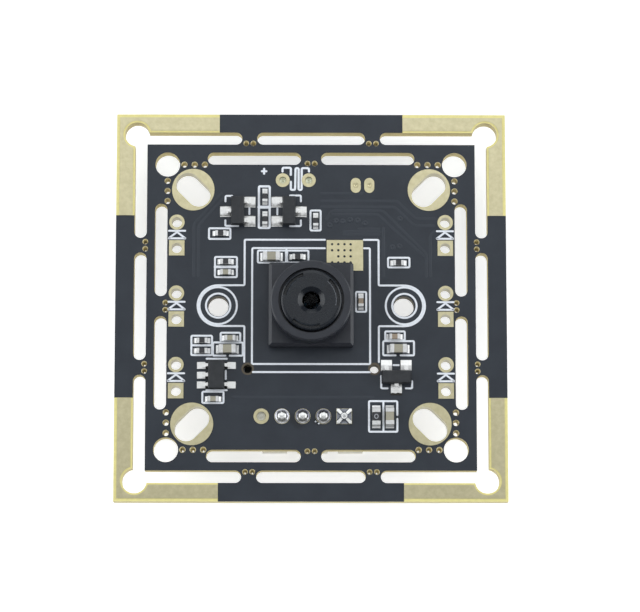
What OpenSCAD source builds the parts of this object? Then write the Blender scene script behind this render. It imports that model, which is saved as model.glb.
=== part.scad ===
// Board camera: a square circuit board in three break-off sizes, with a small
// threaded lens in its holder, chip parts on the front and a pin header,
// controller and memory on the back. Millimetres, front face of the board at
// z = 0, origin on the lens axis, x to the right and y to the top of the board.

/* [Board] */
// Side of the whole board
outer_side = 38; // [37.6:0.1:39]
// Width of the outer ring together with its slot
outer_ring_w = 3; // [2.9:0.05:3.2]
// Width of the middle ring together with its slot
middle_ring_w = 2; // [1.9:0.05:2.1]
// Thickness of the laminate
board_t = 1.6; // [1:0.1:2]
// Width of the routed slots between the rings
slot_w = 1.2; // [1:0.05:1.25]

/* [Break-off tabs] */
// Distance of the outer ring's tabs from the middle of a side
tab_x = 6; // [4:0.25:8]
// Width of an outer tab between its two slots
tab_w = 1.45; // [1.3:0.05:2]
// Width of the tab in the middle of the core's sides
middle_tab_w = 1.96; // [1.7:0.02:2.4]
// Distance from the core's corner at which its slots end
core_corner_w = 3.9; // [3.88:0.02:4.2]
// Radius of a perforation
bite_r = 0.27; // [0.2:0.01:0.28]
// Distance between the two perforations of a tab
bite_step = 0.7; // [0.62:0.02:0.8]
// Radius of a corner tab's perforation
corner_bite_r = 0.3; // [0.24:0.01:0.31]
// Distance from the core's corner to the corner tab's first perforation
corner_bite_inset = 3.62; // [3.6:0.01:3.7]
// Distance between the three perforations of a corner tab
corner_bite_step = 1; // [0.94:0.01:1]

/* [Mounting holes] */
// Distance of the outer ring's screw holes from the board's edges
outer_hole_inset = 2; // [1.8:0.05:2.1]
// Diameter of the corner screw holes
hole_d = 2.4; // [2.2:0.1:2.5]
// Distance of a diagonal slot's middle from the core's edges
slot_inset = 2.5; // [2.4:0.05:2.7]
// Width of a diagonal slot
slot_hole_w = 2.3; // [2:0.1:2.4]
// Length of a diagonal slot
slot_hole_l = 3.8; // [3.2:0.1:3.8]
// Diameter of the plated ring round a diagonal slot
slot_ring_d = 4.14; // [4:0.02:4.2]
// Spacing of the two holes for a larger lens mount
lens_screw_spacing = 18; // [17.6:0.1:18.6]
// Diameter of the two holes for a larger lens mount
lens_screw_d = 2; // [1.6:0.1:2.4]
// Distance of the two locating holes from the lens axis, across and down
locating_x = 6.13; // [6:0.01:6.3]
// Diameter of the two locating holes
locating_d = 0.85; // [0.6:0.05:0.9]

/* [Plating] */
// Thickness of the plated copper
copper_t = 0.05; // [0.03:0.01:0.07]
// Bare laminate left round the perforations beside a plated ring
bite_room = 0.03; // [0.02:0.01:0.08]
// Bare laminate left along the board's outer edge
edge_margin = 0.3; // [0.2:0.05:0.5]
// Bare laminate left along slots and round the outer holes
slot_margin = 0.18; // [0.1:0.02:0.26]
// Length of the corner plating along each side
corner_copper_l = 9.75; // [7:0.05:10]

/* [Solder pads] */
// Distance of a lamp pad column from the core's edge
led_inset = 0.93; // [0.9:0.01:1.2]
// Distance from the core's corner to the first lamp's middle
led_corner = 7; // [6.8:0.1:7.4]
// Distance between the two pads of a lamp
led_pair = 2.54; // [2.3:0.02:2.7]
// Diameter or side of a lamp pad
led_pad_d = 1.5; // [1.3:0.05:1.6]
// Finished hole of a lamp pad
led_hole_d = 1; // [0.7:0.05:1.1]
// Middle of the two microphone pads across the board
mic_x = -1.5; // [-2:0.02:-1.3]
// Distance of the microphone pads from the core's upper edge
mic_inset = 1.54; // [1.3:0.02:1.7]
// Distance between the microphone pads
mic_pair = 2.54; // [2.4:0.02:2.8]
// Diameter of a microphone pad
mic_pad_d = 1.36; // [1.1:0.02:1.5]
// Finished hole of a microphone pad
mic_hole_d = 0.7; // [0.5:0.05:0.9]
// Middle of the two spare oval pads across the board
spare_x = 5.02; // [4.6:0.02:6]
// Distance of the spare oval pads from the core's upper edge
spare_inset = 2.05; // [1.7:0.05:2.2]
// Distance between the spare oval pads
spare_pair = 1.32; // [1.2:0.02:1.6]
// Width of a spare oval pad
spare_w = 0.98; // [0.85:0.01:1.05]
// Length of a spare oval pad
spare_l = 1.48; // [1.3:0.02:1.8]
// Finished hole of a spare oval pad
spare_hole_d = 0.5; // [0.3:0.05:0.6]
// Left edge of the bare ground pad
ground_x = 1.52; // [1.4:0.02:1.6]
// Right edge of the bare ground pad
ground_right = 5.06; // [4.9:0.02:5.3]
// Lower edge of the bare ground pad
ground_y = 3.51; // [3.31:0.05:3.81]
// Upper edge of the bare ground pad
ground_top = 6.52; // [6.5:0.02:6.8]
// Gap between the ground pad and the holder's foot
ground_gap = 0.02; // [0.01:0.01:0.04]
// Distance of the first small holes from the ground pad's left edge
via_side = 0.53; // [0.45:0.01:0.6]
// Distance of the first small holes from the ground pad's upper edge
via_inset = 0.41; // [0.35:0.01:0.42]
// Distance between the small holes of the ground pad
via_step = 0.6; // [0.55:0.01:0.61]
// Diameter of a small hole of the ground pad
via_d = 0.24; // [0.16:0.02:0.3]

/* [Lens holder] */
// Side of the holder's square foot
holder_w = 8.2; // [8:0.05:8.25]
// Height of the holder's square foot
holder_h = 1.5; // [1.4:0.05:1.8]
// Bevel along the foot's upper edges
holder_bevel = 0.3; // [0.16:0.02:0.4]
// Radius of the foot's upright corners
holder_corner_r = 0.3; // [0.2:0.05:0.5]
// Diameter of the round boss
boss_d = 7.8; // [7.4:0.05:7.8]
// Height of the round boss above the board
boss_h = 3.8; // [3.5:0.05:3.9]
// Bevel along the boss's upper edge
boss_bevel = 0.12; // [0.05:0.01:0.2]
// Room between the lens thread and the holder, on the radius
thread_clear = 0.03; // [0.02:0.01:0.05]
// Width of the groove round the lens at the boss's mouth
groove_w = 0.18; // [0.1:0.01:0.2]
// Depth of the groove round the lens
groove_depth = 0.6; // [0.4:0.05:1]
// Height of the ledge that carries the infrared filter
ledge_z = 1; // [0.95:0.05:1.1]
// Thickness of the ledge that carries the infrared filter
ledge_t = 0.25; // [0.15:0.05:0.35]
// Side of the window in the ledge
window_w = 3.5; // [3:0.1:3.7]

/* [Lens] */
// Diameter of the lens barrel over its thread
barrel_d = 5.9; // [5.8:0.05:6]
// Height of the lens barrel's front face above the board
barrel_top = 4; // [3.9:0.05:4.3]
// Gap between the infrared filter and the lens barrel
barrel_gap = 0.3; // [0.15:0.05:0.4]
// Width of the rounded rim of the barrel's front face
barrel_round_w = 0.35; // [0.2:0.05:0.4]
// Drop of the rounded rim of the barrel's front face
barrel_round_h = 0.25; // [0.15:0.05:0.35]
// Diameter of the lens opening
aperture_d = 1.76; // [1.4:0.02:2]
// Diameter of the countersink round the lens opening
countersink_d = 2.6; // [2.3:0.05:3]
// Depth of the countersink
countersink_depth = 0.32; // [0.2:0.02:0.4]
// Thickness of the barrel's front wall
front_wall = 0.7; // [0.6:0.05:0.8]
// Diameter of the lens seat inside the barrel
lens_seat_d = 4.3; // [4:0.05:4.4]
// Number of key slots in the barrel's front
key_slots = 3; // [2:1:4]
// Angle that a key slot covers
key_angle = 62; // [40:1:70]
// Direction of the first key slot
key_start = 18; // [0:1:60]
// Inner diameter of the key slots
key_inner_d = 4.7; // [4.6:0.05:4.9]
// Outer diameter of the key slots
key_outer_d = 5.5; // [5.3:0.05:5.5]
// Depth of the key slots
key_depth = 0.4; // [0.2:0.05:0.5]
// Lean of the key slots' inner wall over its depth
key_lean = 0.15; // [0.05:0.01:0.18]
// Thickness of the front lens at its rim
front_lens_t = 0.45; // [0.35:0.05:0.5]
// Thickness of the ring between the lenses
spacer_t = 0.2; // [0.15:0.05:0.25]
// Thickness of the rear lens at its rim
rear_lens_t = 0.35; // [0.3:0.05:0.4]
// Room between a lens and its seat, on the radius
lens_clear = 0.02; // [0.01:0.01:0.04]
// Side of the infrared filter
filter_w = 4.1; // [3.9:0.05:4.1]
// Thickness of the infrared filter
filter_t = 0.3; // [0.2:0.05:0.4]
// Room round the infrared filter
filter_clear = 0.04; // [0.02:0.01:0.05]
// Side of the image sensor
sensor_w = 5.2; // [4.6:0.1:5.4]
// Height of the image sensor
sensor_h = 0.75; // [0.6:0.05:0.85]
// Room between the image sensor and the holder
sensor_clear = 0.3; // [0.2:0.05:0.4]

/* [Chip parts] */
// Length of a small chip part
chip_l = 1; // [0.9:0.02:1.1]
// Width of a small chip part
chip_w = 0.5; // [0.44:0.02:0.56]
// Height of a small chip resistor
resistor_h = 0.35; // [0.3:0.01:0.4]
// Height of a small chip capacitor
capacitor_h = 0.5; // [0.4:0.02:0.55]
// Length of a large chip part
large_l = 1.6; // [1.5:0.02:1.7]
// Width of a large chip part
large_w = 0.8; // [0.72:0.02:0.86]
// Height of a large chip resistor
large_resistor_h = 0.45; // [0.4:0.01:0.5]
// Height of a large chip capacitor
large_capacitor_h = 0.8; // [0.6:0.02:0.85]
// Part of a chip's length that each metal end takes
end_share = 0.24; // [0.18:0.01:0.28]
// Length of the solder fillet in front of a chip's end
fillet_l = 0.3; // [0.2:0.01:0.34]
// Part of a chip's height that the solder climbs
fillet_share = 0.7; // [0.4:0.05:0.9]
// Thickness of the solder under a chip part or lead
solder_t = 0.06; // [0.04:0.01:0.1]

/* [Transistors] */
// Length of a small moulded transistor body
sot_l = 2.9; // [2.8:0.05:3]
// Width of a small moulded transistor body
sot_w = 1.3; // [1.2:0.05:1.4]
// Width of the regulator's moulded body
regulator_w = 1.6; // [1.5:0.05:1.7]
// Height of the small moulded bodies
sot_h = 0.95; // [0.85:0.05:1.1]
// Distance between neighbouring leads
sot_step = 0.95; // [0.9:0.01:1]
// Reach of a lead beyond the body
sot_reach = 0.55; // [0.5:0.05:0.65]
// Width of a transistor lead
sot_lead_w = 0.4; // [0.3:0.02:0.5]
// Width of a transistor's solder land
land_w = 1.06; // [0.9:0.02:1.2]
// Width of the regulator's solder land
regulator_land_w = 0.66; // [0.56:0.02:0.7]
// Reach of a solder land beyond the lead's tip
land_reach = 0.52; // [0.3:0.02:0.6]

/* [Pin header] */
// Distance between the header's pins
pin_step = 2; // [1.9:0.05:2.1]
// Number of pins
pins = 4; // [4:1:4]
// Middle of the pins across the board
pin_x = 0.2; // [-0.2:0.05:0.6]
// Distance of the pins from the core's lower edge
pin_inset = 3.25; // [3.2:0.05:3.4]
// Side of a pin
pin_t = 0.5; // [0.4:0.02:0.56]
// Finished hole for a pin
pin_hole_d = 0.9; // [0.86:0.02:1]
// Diameter or side of a pin's pad
pin_pad_d = 1.5; // [1.3:0.05:1.6]
// Height of the solder over a pin
joint_h = 0.6; // [0.45:0.05:0.8]
// Diameter of the rounded top of a pin's solder
joint_top_d = 0.8; // [0.76:0.02:0.86]
// Height of a pin's tip inside its solder
pin_tip = 0.3; // [0.1:0.05:0.4]
// Length of the header housing beyond its end pins
header_end = 1.95; // [1.8:0.05:1.95]
// Width of the header housing
header_w = 4.5; // [4.2:0.1:4.6]
// Distance of the pins from the housing's near wall
header_back = 1.7; // [1.5:0.05:1.8]
// Height of the header housing
header_h = 6; // [5:0.1:7]
// Wall of the header housing
header_wall = 0.6; // [0.5:0.05:0.7]
// Thickness of the header housing's floor
header_floor = 1.5; // [1.2:0.1:2]
// Width of the latch windows in the housing's far wall
latch_w = 1; // [0.8:0.05:1.4]
// Room between a pin and the housing
pin_clear = 0.02; // [0.01:0.01:0.04]
// Distance of the pins' free ends inside the housing's mouth
pin_recess = 0.9; // [0.5:0.1:1.5]

/* [Rear parts] */
// Side of the controller's moulded body
controller_w = 7; // [6.9:0.05:7.1]
// Height of the controller's moulded body
controller_h = 1.4; // [1.2:0.05:1.6]
// Leads along one side of the controller
controller_leads = 12; // [8:1:13]
// Distance between the controller's leads
controller_step = 0.5; // [0.46:0.01:0.52]
// Width of a controller lead
controller_lead_w = 0.22; // [0.16:0.01:0.26]
// Reach of a controller lead beyond the body
controller_reach = 1; // [0.8:0.05:1.05]
// Room round the controller to the header, the memory and the crystal
controller_gap = 0.75; // [0.3:0.05:1]
// Reach of a rear land beyond its lead's tip
rear_land_reach = 0.15; // [0.1:0.01:0.3]
// Length of the memory's moulded body
memory_l = 4.9; // [4.8:0.05:5]
// Width of the memory's moulded body
memory_w = 3.9; // [3.8:0.05:4]
// Height of the memory's moulded body
memory_h = 1.4; // [1.2:0.05:1.6]
// Leads along one side of the memory
memory_leads = 4; // [3:1:4]
// Distance between the memory's leads
memory_step = 1.27; // [1.2:0.01:1.3]
// Width of a memory lead
memory_lead_w = 0.42; // [0.34:0.02:0.5]
// Reach of a memory lead beyond the body
memory_reach = 1.05; // [0.9:0.05:1.1]
// Length of the crystal's case
crystal_l = 3.2; // [3:0.05:3.3]
// Width of the crystal's case
crystal_w = 2.5; // [2.4:0.05:2.6]
// Height of the crystal's case
crystal_h = 0.75; // [0.6:0.05:0.9]

/* [Hidden] */
$fn = 48;
over = 0.5;
middle_side = outer_side - 2 * outer_ring_w;
core_side = middle_side - 2 * middle_ring_w;
core_edge = core_side / 2;
outer_gap_r = middle_side / 2 + slot_w / 2;
core_gap_r = core_edge + slot_w / 2;
ring_inside = middle_side / 2 + slot_w;
core_slot_end = core_edge - core_corner_w;
corner_bite_x = core_edge - corner_bite_inset;
hole_spacing = core_side;
outer_hole_spacing = outer_side - 2 * outer_hole_inset;
slot_spacing = core_side - 2 * slot_inset;
corner_copper_x = outer_side / 2 - edge_margin - corner_copper_l;
led_x = core_edge - led_inset;
led_step = core_edge - led_corner;
mic_y = core_edge - mic_inset;
spare_y = core_edge - spare_inset;
pin_y = pin_inset - core_edge;
bore_r = barrel_d / 2 + thread_clear;
filter_z = ledge_z + ledge_t;
barrel_z = filter_z + filter_t + barrel_gap;
seat_z = barrel_top - front_wall;
rear_z = -board_t;
header_l = (pins - 1) * pin_step + 2 * header_end;
lead_t = 0.14;
foot = solder_t + 0.04;

// Places of the chip parts as x, y and turn: beside the holder, or on a core
// of the layout's side, which they follow when the core's side changes
layout_side = 28;
function on_core(p) = [p[0] * core_side / layout_side, p[1] * core_side / layout_side, p[2]];
beside_holder = holder_w / 2 + 0.74;
small_resistors = concat([[-1.3, beside_holder, 0]], [for (p = [
    [-4.5, 10.8, 90], [-4.5, 8.55, 90], [0.45, 8.4, 90], [-8.8, 7.15, 0], [-8.3, 4.35, 0],
    [-10.55, -3.4, 0], [-10.55, -4.4, 0], [8.5, 4.25, 0]
]) on_core(p)]);
large_resistors = [on_core([6.3, -10.8, 90])];
small_capacitors = concat([[beside_holder, 0.45, 90]], [for (p = [
    [-8.3, 3.3, 0], [-7.85, -3.15, 0], [-9.45, -9.1, 0], [8.1, -3, 0]
]) on_core(p)]);
large_capacitors = concat([[-3.85, beside_holder, 0]], [for (p = [
    [-8.1, -4.25, 0], [8.45, -4.2, 0], [7.6, -10.8, 90]
]) on_core(p)]);
transistors = [for (p = [[-7.15, 9.33, 0], [-2.15, 9.33, 180], [8.25, -6.98, 90]]) on_core(p)];
regulator_place = on_core([-9.15, -6.77, 0]);
controller_half = controller_w / 2 + controller_reach + rear_land_reach;
memory_half = memory_w / 2 + memory_reach + rear_land_reach;
controller_x = -3.1;
controller_y = pin_y + header_back + controller_gap + controller_half;
memory_x = controller_x + controller_half + controller_gap + memory_half;
memory_y = 0.15 * core_side;
crystal_x = -0.15 * core_side;
crystal_y = controller_y + controller_half + controller_gap + crystal_w / 2;
rear_capacitors = [for (p = [[-8.6, 5.2, 90], [-0.6, 6.4, 0], [4.2, -2.6, 0], [4.2, -5, 0]]) on_core(p)];

resistors = concat(small_resistors, large_resistors);
capacitors = concat(small_capacitors, large_capacitors);

// A slot with round ends between two x values on a line at height y
module slot_2d(from_x, to_x, y, w) {
    translate([from_x + w / 2, y - w / 2]) square([to_x - from_x - w, w]);
    for (x = [from_x + w / 2, to_x - w / 2]) translate([x, y]) circle(w / 2);
}

// A slot with one round end that runs square into the corner of its ring
module corner_slot_2d(from_x, to_x, y, w) {
    translate([from_x + w / 2, y - w / 2]) square([to_x - from_x - w / 2, w]);
    translate([from_x + w / 2, y]) circle(w / 2);
}

module four_sides() {
    for (a = [0:90:270]) rotate(a) children();
}

module four_corners(spacing) {
    for (x = [-1, 1], y = [-1, 1]) translate([x * spacing / 2, y * spacing / 2]) children();
}

module outer_channel_2d() {
    four_sides() {
        slot_2d(-tab_x + tab_w / 2, tab_x - tab_w / 2, outer_gap_r, slot_w);
        for (m = [0, 1]) mirror([m, 0]) {
            corner_slot_2d(tab_x + tab_w / 2, ring_inside, outer_gap_r, slot_w);
            for (b = [-1, 1])
                translate([tab_x + b * bite_step / 2, middle_side / 2 + bite_r / 2]) circle(bite_r);
        }
    }
}

module core_channel_2d() {
    four_sides() {
        for (m = [0, 1]) mirror([m, 0]) {
            slot_2d(middle_tab_w / 2, core_slot_end, core_gap_r, slot_w);
            translate([bite_step / 2, core_edge + bite_r / 2]) circle(bite_r);
        }
        corner_bites_2d(corner_bite_r);
    }
}

// The perforations of the two corner tabs on the upper side
module corner_bites_2d(r) {
    for (m = [0, 1], k = [0:2]) mirror([m, 0])
        translate([corner_bite_x + k * corner_bite_step, core_edge]) circle(r);
}

// The stadium of a diagonal slot, pointing at the board's middle
module diagonal_slot_2d(grow = 0) {
    w = slot_hole_w + 2 * grow;
    run = slot_hole_l - slot_hole_w;
    square([run, w], center = true);
    for (s = [-1, 1]) translate([s * run / 2, 0]) circle(w / 2);
}

function corner_sign(i) = [[1, 1], [-1, 1], [-1, -1], [1, -1]][i - 1];

module at_diagonal_slot(i) {
    c = corner_sign(i);
    translate([c[0] * slot_spacing / 2, c[1] * slot_spacing / 2, 0]) rotate(c[0] * c[1] * 45) children();
}

module lamp_places() {
    for (s = [-1, 1], k = [-1, 0, 1]) translate([s * led_x, k * led_step, 0]) children();
}

// The places of the header's holes: one empty hole, then one for each pin
function header_hole_x(k) = pin_x + (k - (pins - 1) / 2) * pin_step;

module board_2d() {
    difference() {
        square(outer_side, center = true);
        outer_channel_2d();
        core_channel_2d();
        four_corners(outer_hole_spacing) circle(d = hole_d);
        four_corners(hole_spacing) circle(d = hole_d);
        for (i = [1:4]) at_diagonal_slot(i) diagonal_slot_2d(copper_t);
        for (s = [-1, 1]) {
            translate([s * lens_screw_spacing / 2, 0]) circle(d = lens_screw_d);
            translate([s * locating_x, -locating_x]) circle(d = locating_d);
            translate([mic_x + s * mic_pair / 2, mic_y]) circle(d = mic_hole_d + 2 * copper_t);
            translate([spare_x + s * spare_pair / 2, spare_y]) circle(d = spare_hole_d + 2 * copper_t);
        }
        lamp_places() for (s = [-1, 1])
            translate([0, s * led_pair / 2]) circle(d = led_hole_d + 2 * copper_t);
        for (k = [-1:pins - 1])
            translate([header_hole_x(k), pin_y]) circle(d = pin_hole_d + 2 * copper_t);
    }
}

module circuit_board() {
    color([0.26, 0.28, 0.32]) translate([0, 0, -board_t]) linear_extrude(board_t) board_2d();
}

// The bare plated strip on one corner of the outer ring
module corner_strip_2d() {
    inner = ring_inside + slot_margin;
    outer = outer_side / 2 - edge_margin;
    difference() {
        translate([corner_copper_x, corner_copper_x]) square(outer - corner_copper_x);
        square(inner);
        translate([outer_hole_spacing / 2, outer_hole_spacing / 2]) circle(hole_d / 2 + slot_margin);
    }
}

module corner_copper(i) {
    c = corner_sign(i);
    color([0.8, 0.77, 0.63]) for (z = [0, rear_z - copper_t])
        translate([0, 0, z]) linear_extrude(copper_t)
            mirror([c[0] < 0 ? 1 : 0, 0]) mirror([0, c[1] < 0 ? 1 : 0]) corner_strip_2d();
}

// A plated hole: a tube through the board with a flange on each face
module plated_hole(hole_d, pad_d, square_pad = false) {
    difference() {
        union() {
            for (z = [0, rear_z - copper_t]) translate([0, 0, z]) linear_extrude(copper_t)
                if (square_pad) square(pad_d, center = true);
                else circle(d = pad_d);
            translate([0, 0, rear_z]) cylinder(h = board_t, d = hole_d + 2 * copper_t);
        }
        translate([0, 0, rear_z - over]) cylinder(h = board_t + 2 * over, d = hole_d);
    }
}

module slot_ring(i) {
    c = corner_sign(i);
    color([0.8, 0.77, 0.63]) difference() {
        union() {
            for (z = [0, rear_z - copper_t]) translate([c[0] * slot_spacing / 2, c[1] * slot_spacing / 2, z])
                cylinder(h = copper_t, d = slot_ring_d);
            at_diagonal_slot(i) translate([0, 0, rear_z]) linear_extrude(board_t) diagonal_slot_2d(copper_t);
        }
        translate([0, 0, rear_z - over]) linear_extrude(board_t + 2 * over) {
            at_diagonal_slot(i) diagonal_slot_2d();
            four_sides() corner_bites_2d(corner_bite_r + bite_room);
        }
    }
}

// The ground pad beside the holder, with its rows of small holes
module ground_pad() {
    pad_w = ground_right - ground_x;
    pad_h = ground_top - ground_y;
    side = holder_w / 2 + ground_gap;
    via_x = ground_x + via_side;
    via_y = ground_top - via_inset;
    color([0.8, 0.77, 0.63]) difference() {
        translate([ground_x, ground_y, 0]) cube([pad_w, pad_h, copper_t]);
        translate([-side, -side, -over]) cube([2 * side, 2 * side, 2 * over]);
        for (i = [0:3], j = [0:3]) if (i > 0 || j != 2)
            translate([via_x + i * via_step, via_y - j * via_step, -over]) cylinder(h = 2 * over, d = via_d);
    }
}

module lamp_pads() {
    color([0.85, 0.82, 0.68]) lamp_places() {
        translate([0, led_pair / 2, 0]) plated_hole(led_hole_d, led_pad_d);
        translate([0, -led_pair / 2, 0]) plated_hole(led_hole_d, led_pad_d, true);
    }
}

module microphone_pads() {
    color([0.85, 0.82, 0.68]) for (s = [-1, 1])
        translate([mic_x + s * mic_pair / 2, mic_y, 0]) plated_hole(mic_hole_d, mic_pad_d);
}

module spare_pads() {
    color([0.85, 0.82, 0.68]) for (s = [-1, 1]) translate([spare_x + s * spare_pair / 2, spare_y, 0])
        difference() {
            union() {
                for (z = [0, rear_z - copper_t]) translate([0, 0, z]) linear_extrude(copper_t) rotate(90)
                    slot_2d(-spare_l / 2, spare_l / 2, 0, spare_w);
                translate([0, 0, rear_z]) cylinder(h = board_t, d = spare_hole_d + 2 * copper_t);
            }
            translate([0, 0, rear_z - over]) cylinder(h = board_t + 2 * over, d = spare_hole_d);
        }
}

module header_pads() {
    color([0.85, 0.82, 0.68]) for (k = [-1:pins - 1])
        translate([header_hole_x(k), pin_y, 0]) plated_hole(pin_hole_d, pin_pad_d, k == pins - 1);
}

// A chip part lying along x: its body, metal ends and solder fillets
module chip(l, w, h, overlap) {
    end = l * end_share;
    climb = h * fillet_share;
    translate([0, 0, solder_t + h / 2])
        cube([l - 2 * end + 2 * overlap, w - overlap, h - overlap], center = true);
    for (m = [0, 1]) mirror([m, 0, 0]) {
        translate([l / 2 - end, -w / 2, 0]) cube([end, w, h + solder_t]);
        rotate([90, 0, 0]) linear_extrude(w, center = true) polygon(concat(
            [[l / 2 - end, 0], [l / 2 + fillet_l, 0]],
            [for (a = [0:15:90]) [l / 2 + fillet_l * (1 - sin(a)), solder_t + climb * (1 - cos(a))]],
            [[l / 2 - end, solder_t + climb]]
        ));
    }
}

module at_place(p) {
    translate([p[0], p[1], 0]) rotate(p[2]) children();
}

module resistor(i) {
    color([0.14, 0.14, 0.15]) at_place(resistors[i - 1])
        if (i > len(small_resistors)) chip(large_l, large_w, large_resistor_h, 0.04);
        else chip(chip_l, chip_w, resistor_h, 0.04);
}

module capacitor_body(big) {
    color([0.6, 0.57, 0.47])
        if (big) chip(large_l, large_w, large_capacitor_h, 0.04);
        else chip(chip_l, chip_w, capacitor_h, 0.04);
}

module capacitor(i) {
    at_place(capacitors[i - 1]) capacitor_body(i > len(small_capacitors));
}

// A moulded package: both pairs of sides lean in above and below the leads
module moulded_body(l, w, h) {
    lean = 0.12 * h;
    function section(s) = [
        [-s / 2 + lean, 0], [s / 2 - lean, 0], [s / 2, h / 2],
        [s / 2 - lean, h], [-s / 2 + lean, h], [-s / 2, h / 2]
    ];
    translate([0, 0, foot]) intersection() {
        rotate([90, 0, 0]) linear_extrude(w, center = true) polygon(section(l));
        rotate([90, 0, 90]) linear_extrude(l, center = true) polygon(section(w));
    }
}

// A gull-wing lead that leaves a body of half width x0 at height z0 along +x
module gull_lead(x0, z0, reach, w) {
    bend = reach * 0.42;
    inside = 0.3;
    rotate([90, 0, 0]) linear_extrude(w, center = true) polygon([
        [x0 - inside, z0 - lead_t / 2], [x0 + bend - lead_t, z0 - lead_t / 2],
        [x0 + bend - lead_t / 2, solder_t], [x0 + reach, solder_t],
        [x0 + reach, solder_t + lead_t], [x0 + bend + lead_t / 2, solder_t + lead_t],
        [x0 + bend, z0 + lead_t / 2], [x0 - inside, z0 + lead_t / 2]
    ]);
}

// A lead with its solder land, on which the solder falls off from the tip
module soldered_lead(half_w, body_h, lead_w, land) {
    tip = half_w + sot_reach;
    gull_lead(half_w, foot + body_h / 2, sot_reach, lead_w);
    rotate([90, 0, 0]) linear_extrude(land, center = true) polygon([
        [half_w, 0], [tip + land_reach, 0], [tip + land_reach, solder_t / 2],
        [tip, solder_t + lead_t / 2], [half_w, solder_t]
    ]);
}

module transistor(i) {
    color([0.16, 0.16, 0.17]) at_place(transistors[i - 1]) {
        rotate(90) moulded_body(sot_l, sot_w, sot_h);
        for (s = [-1, 1]) translate([0, s * sot_step, 0])
            soldered_lead(sot_w / 2, sot_h, sot_lead_w, land_w);
        rotate(180) soldered_lead(sot_w / 2, sot_h, sot_lead_w, land_w);
    }
}

module regulator() {
    color([0.16, 0.16, 0.17]) at_place(regulator_place) {
        rotate(90) moulded_body(sot_l, regulator_w, sot_h);
        for (s = [-1, 1]) translate([0, s * sot_step, 0])
            soldered_lead(regulator_w / 2, sot_h, sot_lead_w, regulator_land_w);
        rotate(180) for (s = [-1, 0, 1]) translate([0, s * sot_step, 0])
            soldered_lead(regulator_w / 2, sot_h, sot_lead_w, regulator_land_w);
    }
}

module pin_solid(grow, low, high) {
    side = pin_t + 2 * grow;
    translate([-side / 2, -side / 2, low]) cube([side, side, high - low]);
}

// A round joint: a hollow fillet that rises from the pad to a blunt top
module joint_heap(r) {
    top_r = joint_top_d / 2;
    fillet_h = 0.68 * joint_h;
    rotate_extrude() polygon(concat(
        [[0, 0]],
        [for (a = [0:15:90]) [top_r + (r - top_r) * (1 - sin(a)), fillet_h * (1 - cos(a))]],
        [[0.93 * top_r, 0.88 * joint_h], [0.74 * top_r, 0.97 * joint_h], [0, joint_h]]
    ));
}

// The square pad's joint: a thin sheet of solder with two ridges that cross at
// the pin and run down to the corners
module joint_ridges(r) {
    sheet_t = 0.05;
    end_h = 0.16;
    half_w = 0.3;
    reach = 1.5 * r;
    along = [
        [-reach, 0], [reach, 0], [reach, end_h], [r / 2, 0.55 * joint_h], [0, joint_h],
        [-r / 2, 0.55 * joint_h], [-reach, end_h]
    ];
    across = [
        [-half_w, 0], [half_w, 0], [half_w / 2, 0.4 * joint_h], [half_w / 4, joint_h],
        [-half_w / 4, joint_h], [-half_w / 2, 0.4 * joint_h]
    ];
    intersection() {
        translate([-r, -r, 0]) cube([2 * r, 2 * r, joint_h]);
        union() {
            translate([-r, -r, 0]) cube([2 * r, 2 * r, sheet_t]);
            cylinder(h = 0.8 * joint_h, r1 = joint_top_d * 0.62, r2 = joint_top_d * 0.36);
            for (a = [45, 135]) rotate(a) intersection() {
                rotate([90, 0, 0]) linear_extrude(2 * half_w, center = true) polygon(along);
                rotate([90, 0, 90]) linear_extrude(2 * reach, center = true) polygon(across);
            }
        }
    }
}

// The solder in a pin's hole and its heap on the front face
module solder_joint(i) {
    base_r = pin_pad_d / 2 - 0.03;
    color([0.82, 0.82, 0.82]) translate([header_hole_x(i - 1), pin_y, 0]) difference() {
        union() {
            translate([0, 0, rear_z]) cylinder(h = board_t + copper_t, d = pin_hole_d);
            translate([0, 0, copper_t])
                if (i == pins) joint_ridges(base_r);
                else joint_heap(base_r);
        }
        pin_solid(0, rear_z - over, pin_tip);
    }
}

// The holder's square foot with bevelled upper edges and round corners
module holder_foot() {
    half = holder_w / 2;
    side = [
        [-half, 0], [half, 0], [half, holder_h - holder_bevel], [half - holder_bevel, holder_h],
        [-half + holder_bevel, holder_h], [-half, holder_h - holder_bevel]
    ];
    intersection() {
        rotate([90, 0, 0]) linear_extrude(holder_w, center = true) polygon(side);
        rotate([90, 0, 90]) linear_extrude(holder_w, center = true) polygon(side);
        linear_extrude(holder_h) {
            square([holder_w, holder_w - 2 * holder_corner_r], center = true);
            square([holder_w - 2 * holder_corner_r, holder_w], center = true);
            four_corners(holder_w - 2 * holder_corner_r) circle(holder_corner_r);
        }
    }
}

// The hollow under the filter ledge, the filter's seat and the threaded bore
module holder_hollow() {
    sensor_room = sensor_w + 2 * sensor_clear;
    seat = filter_w + 2 * filter_clear;
    translate([-sensor_room / 2, -sensor_room / 2, -over]) cube([sensor_room, sensor_room, ledge_z + over]);
    translate([-window_w / 2, -window_w / 2, 0]) cube([window_w, window_w, boss_h]);
    translate([-seat / 2, -seat / 2, filter_z]) cube([seat, seat, boss_h - filter_z]);
    translate([0, 0, filter_z + filter_t]) cylinder(h = boss_h, r = bore_r);
    translate([0, 0, boss_h - groove_depth]) cylinder(h = boss_h, r = bore_r + groove_w);
}

module lens_holder() {
    color([0.13, 0.13, 0.15]) difference() {
        union() {
            holder_foot();
            cylinder(h = boss_h - boss_bevel, d = boss_d);
            translate([0, 0, boss_h - boss_bevel])
                cylinder(h = boss_bevel, r1 = boss_d / 2, r2 = boss_d / 2 - boss_bevel);
        }
        holder_hollow();
    }
}

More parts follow.
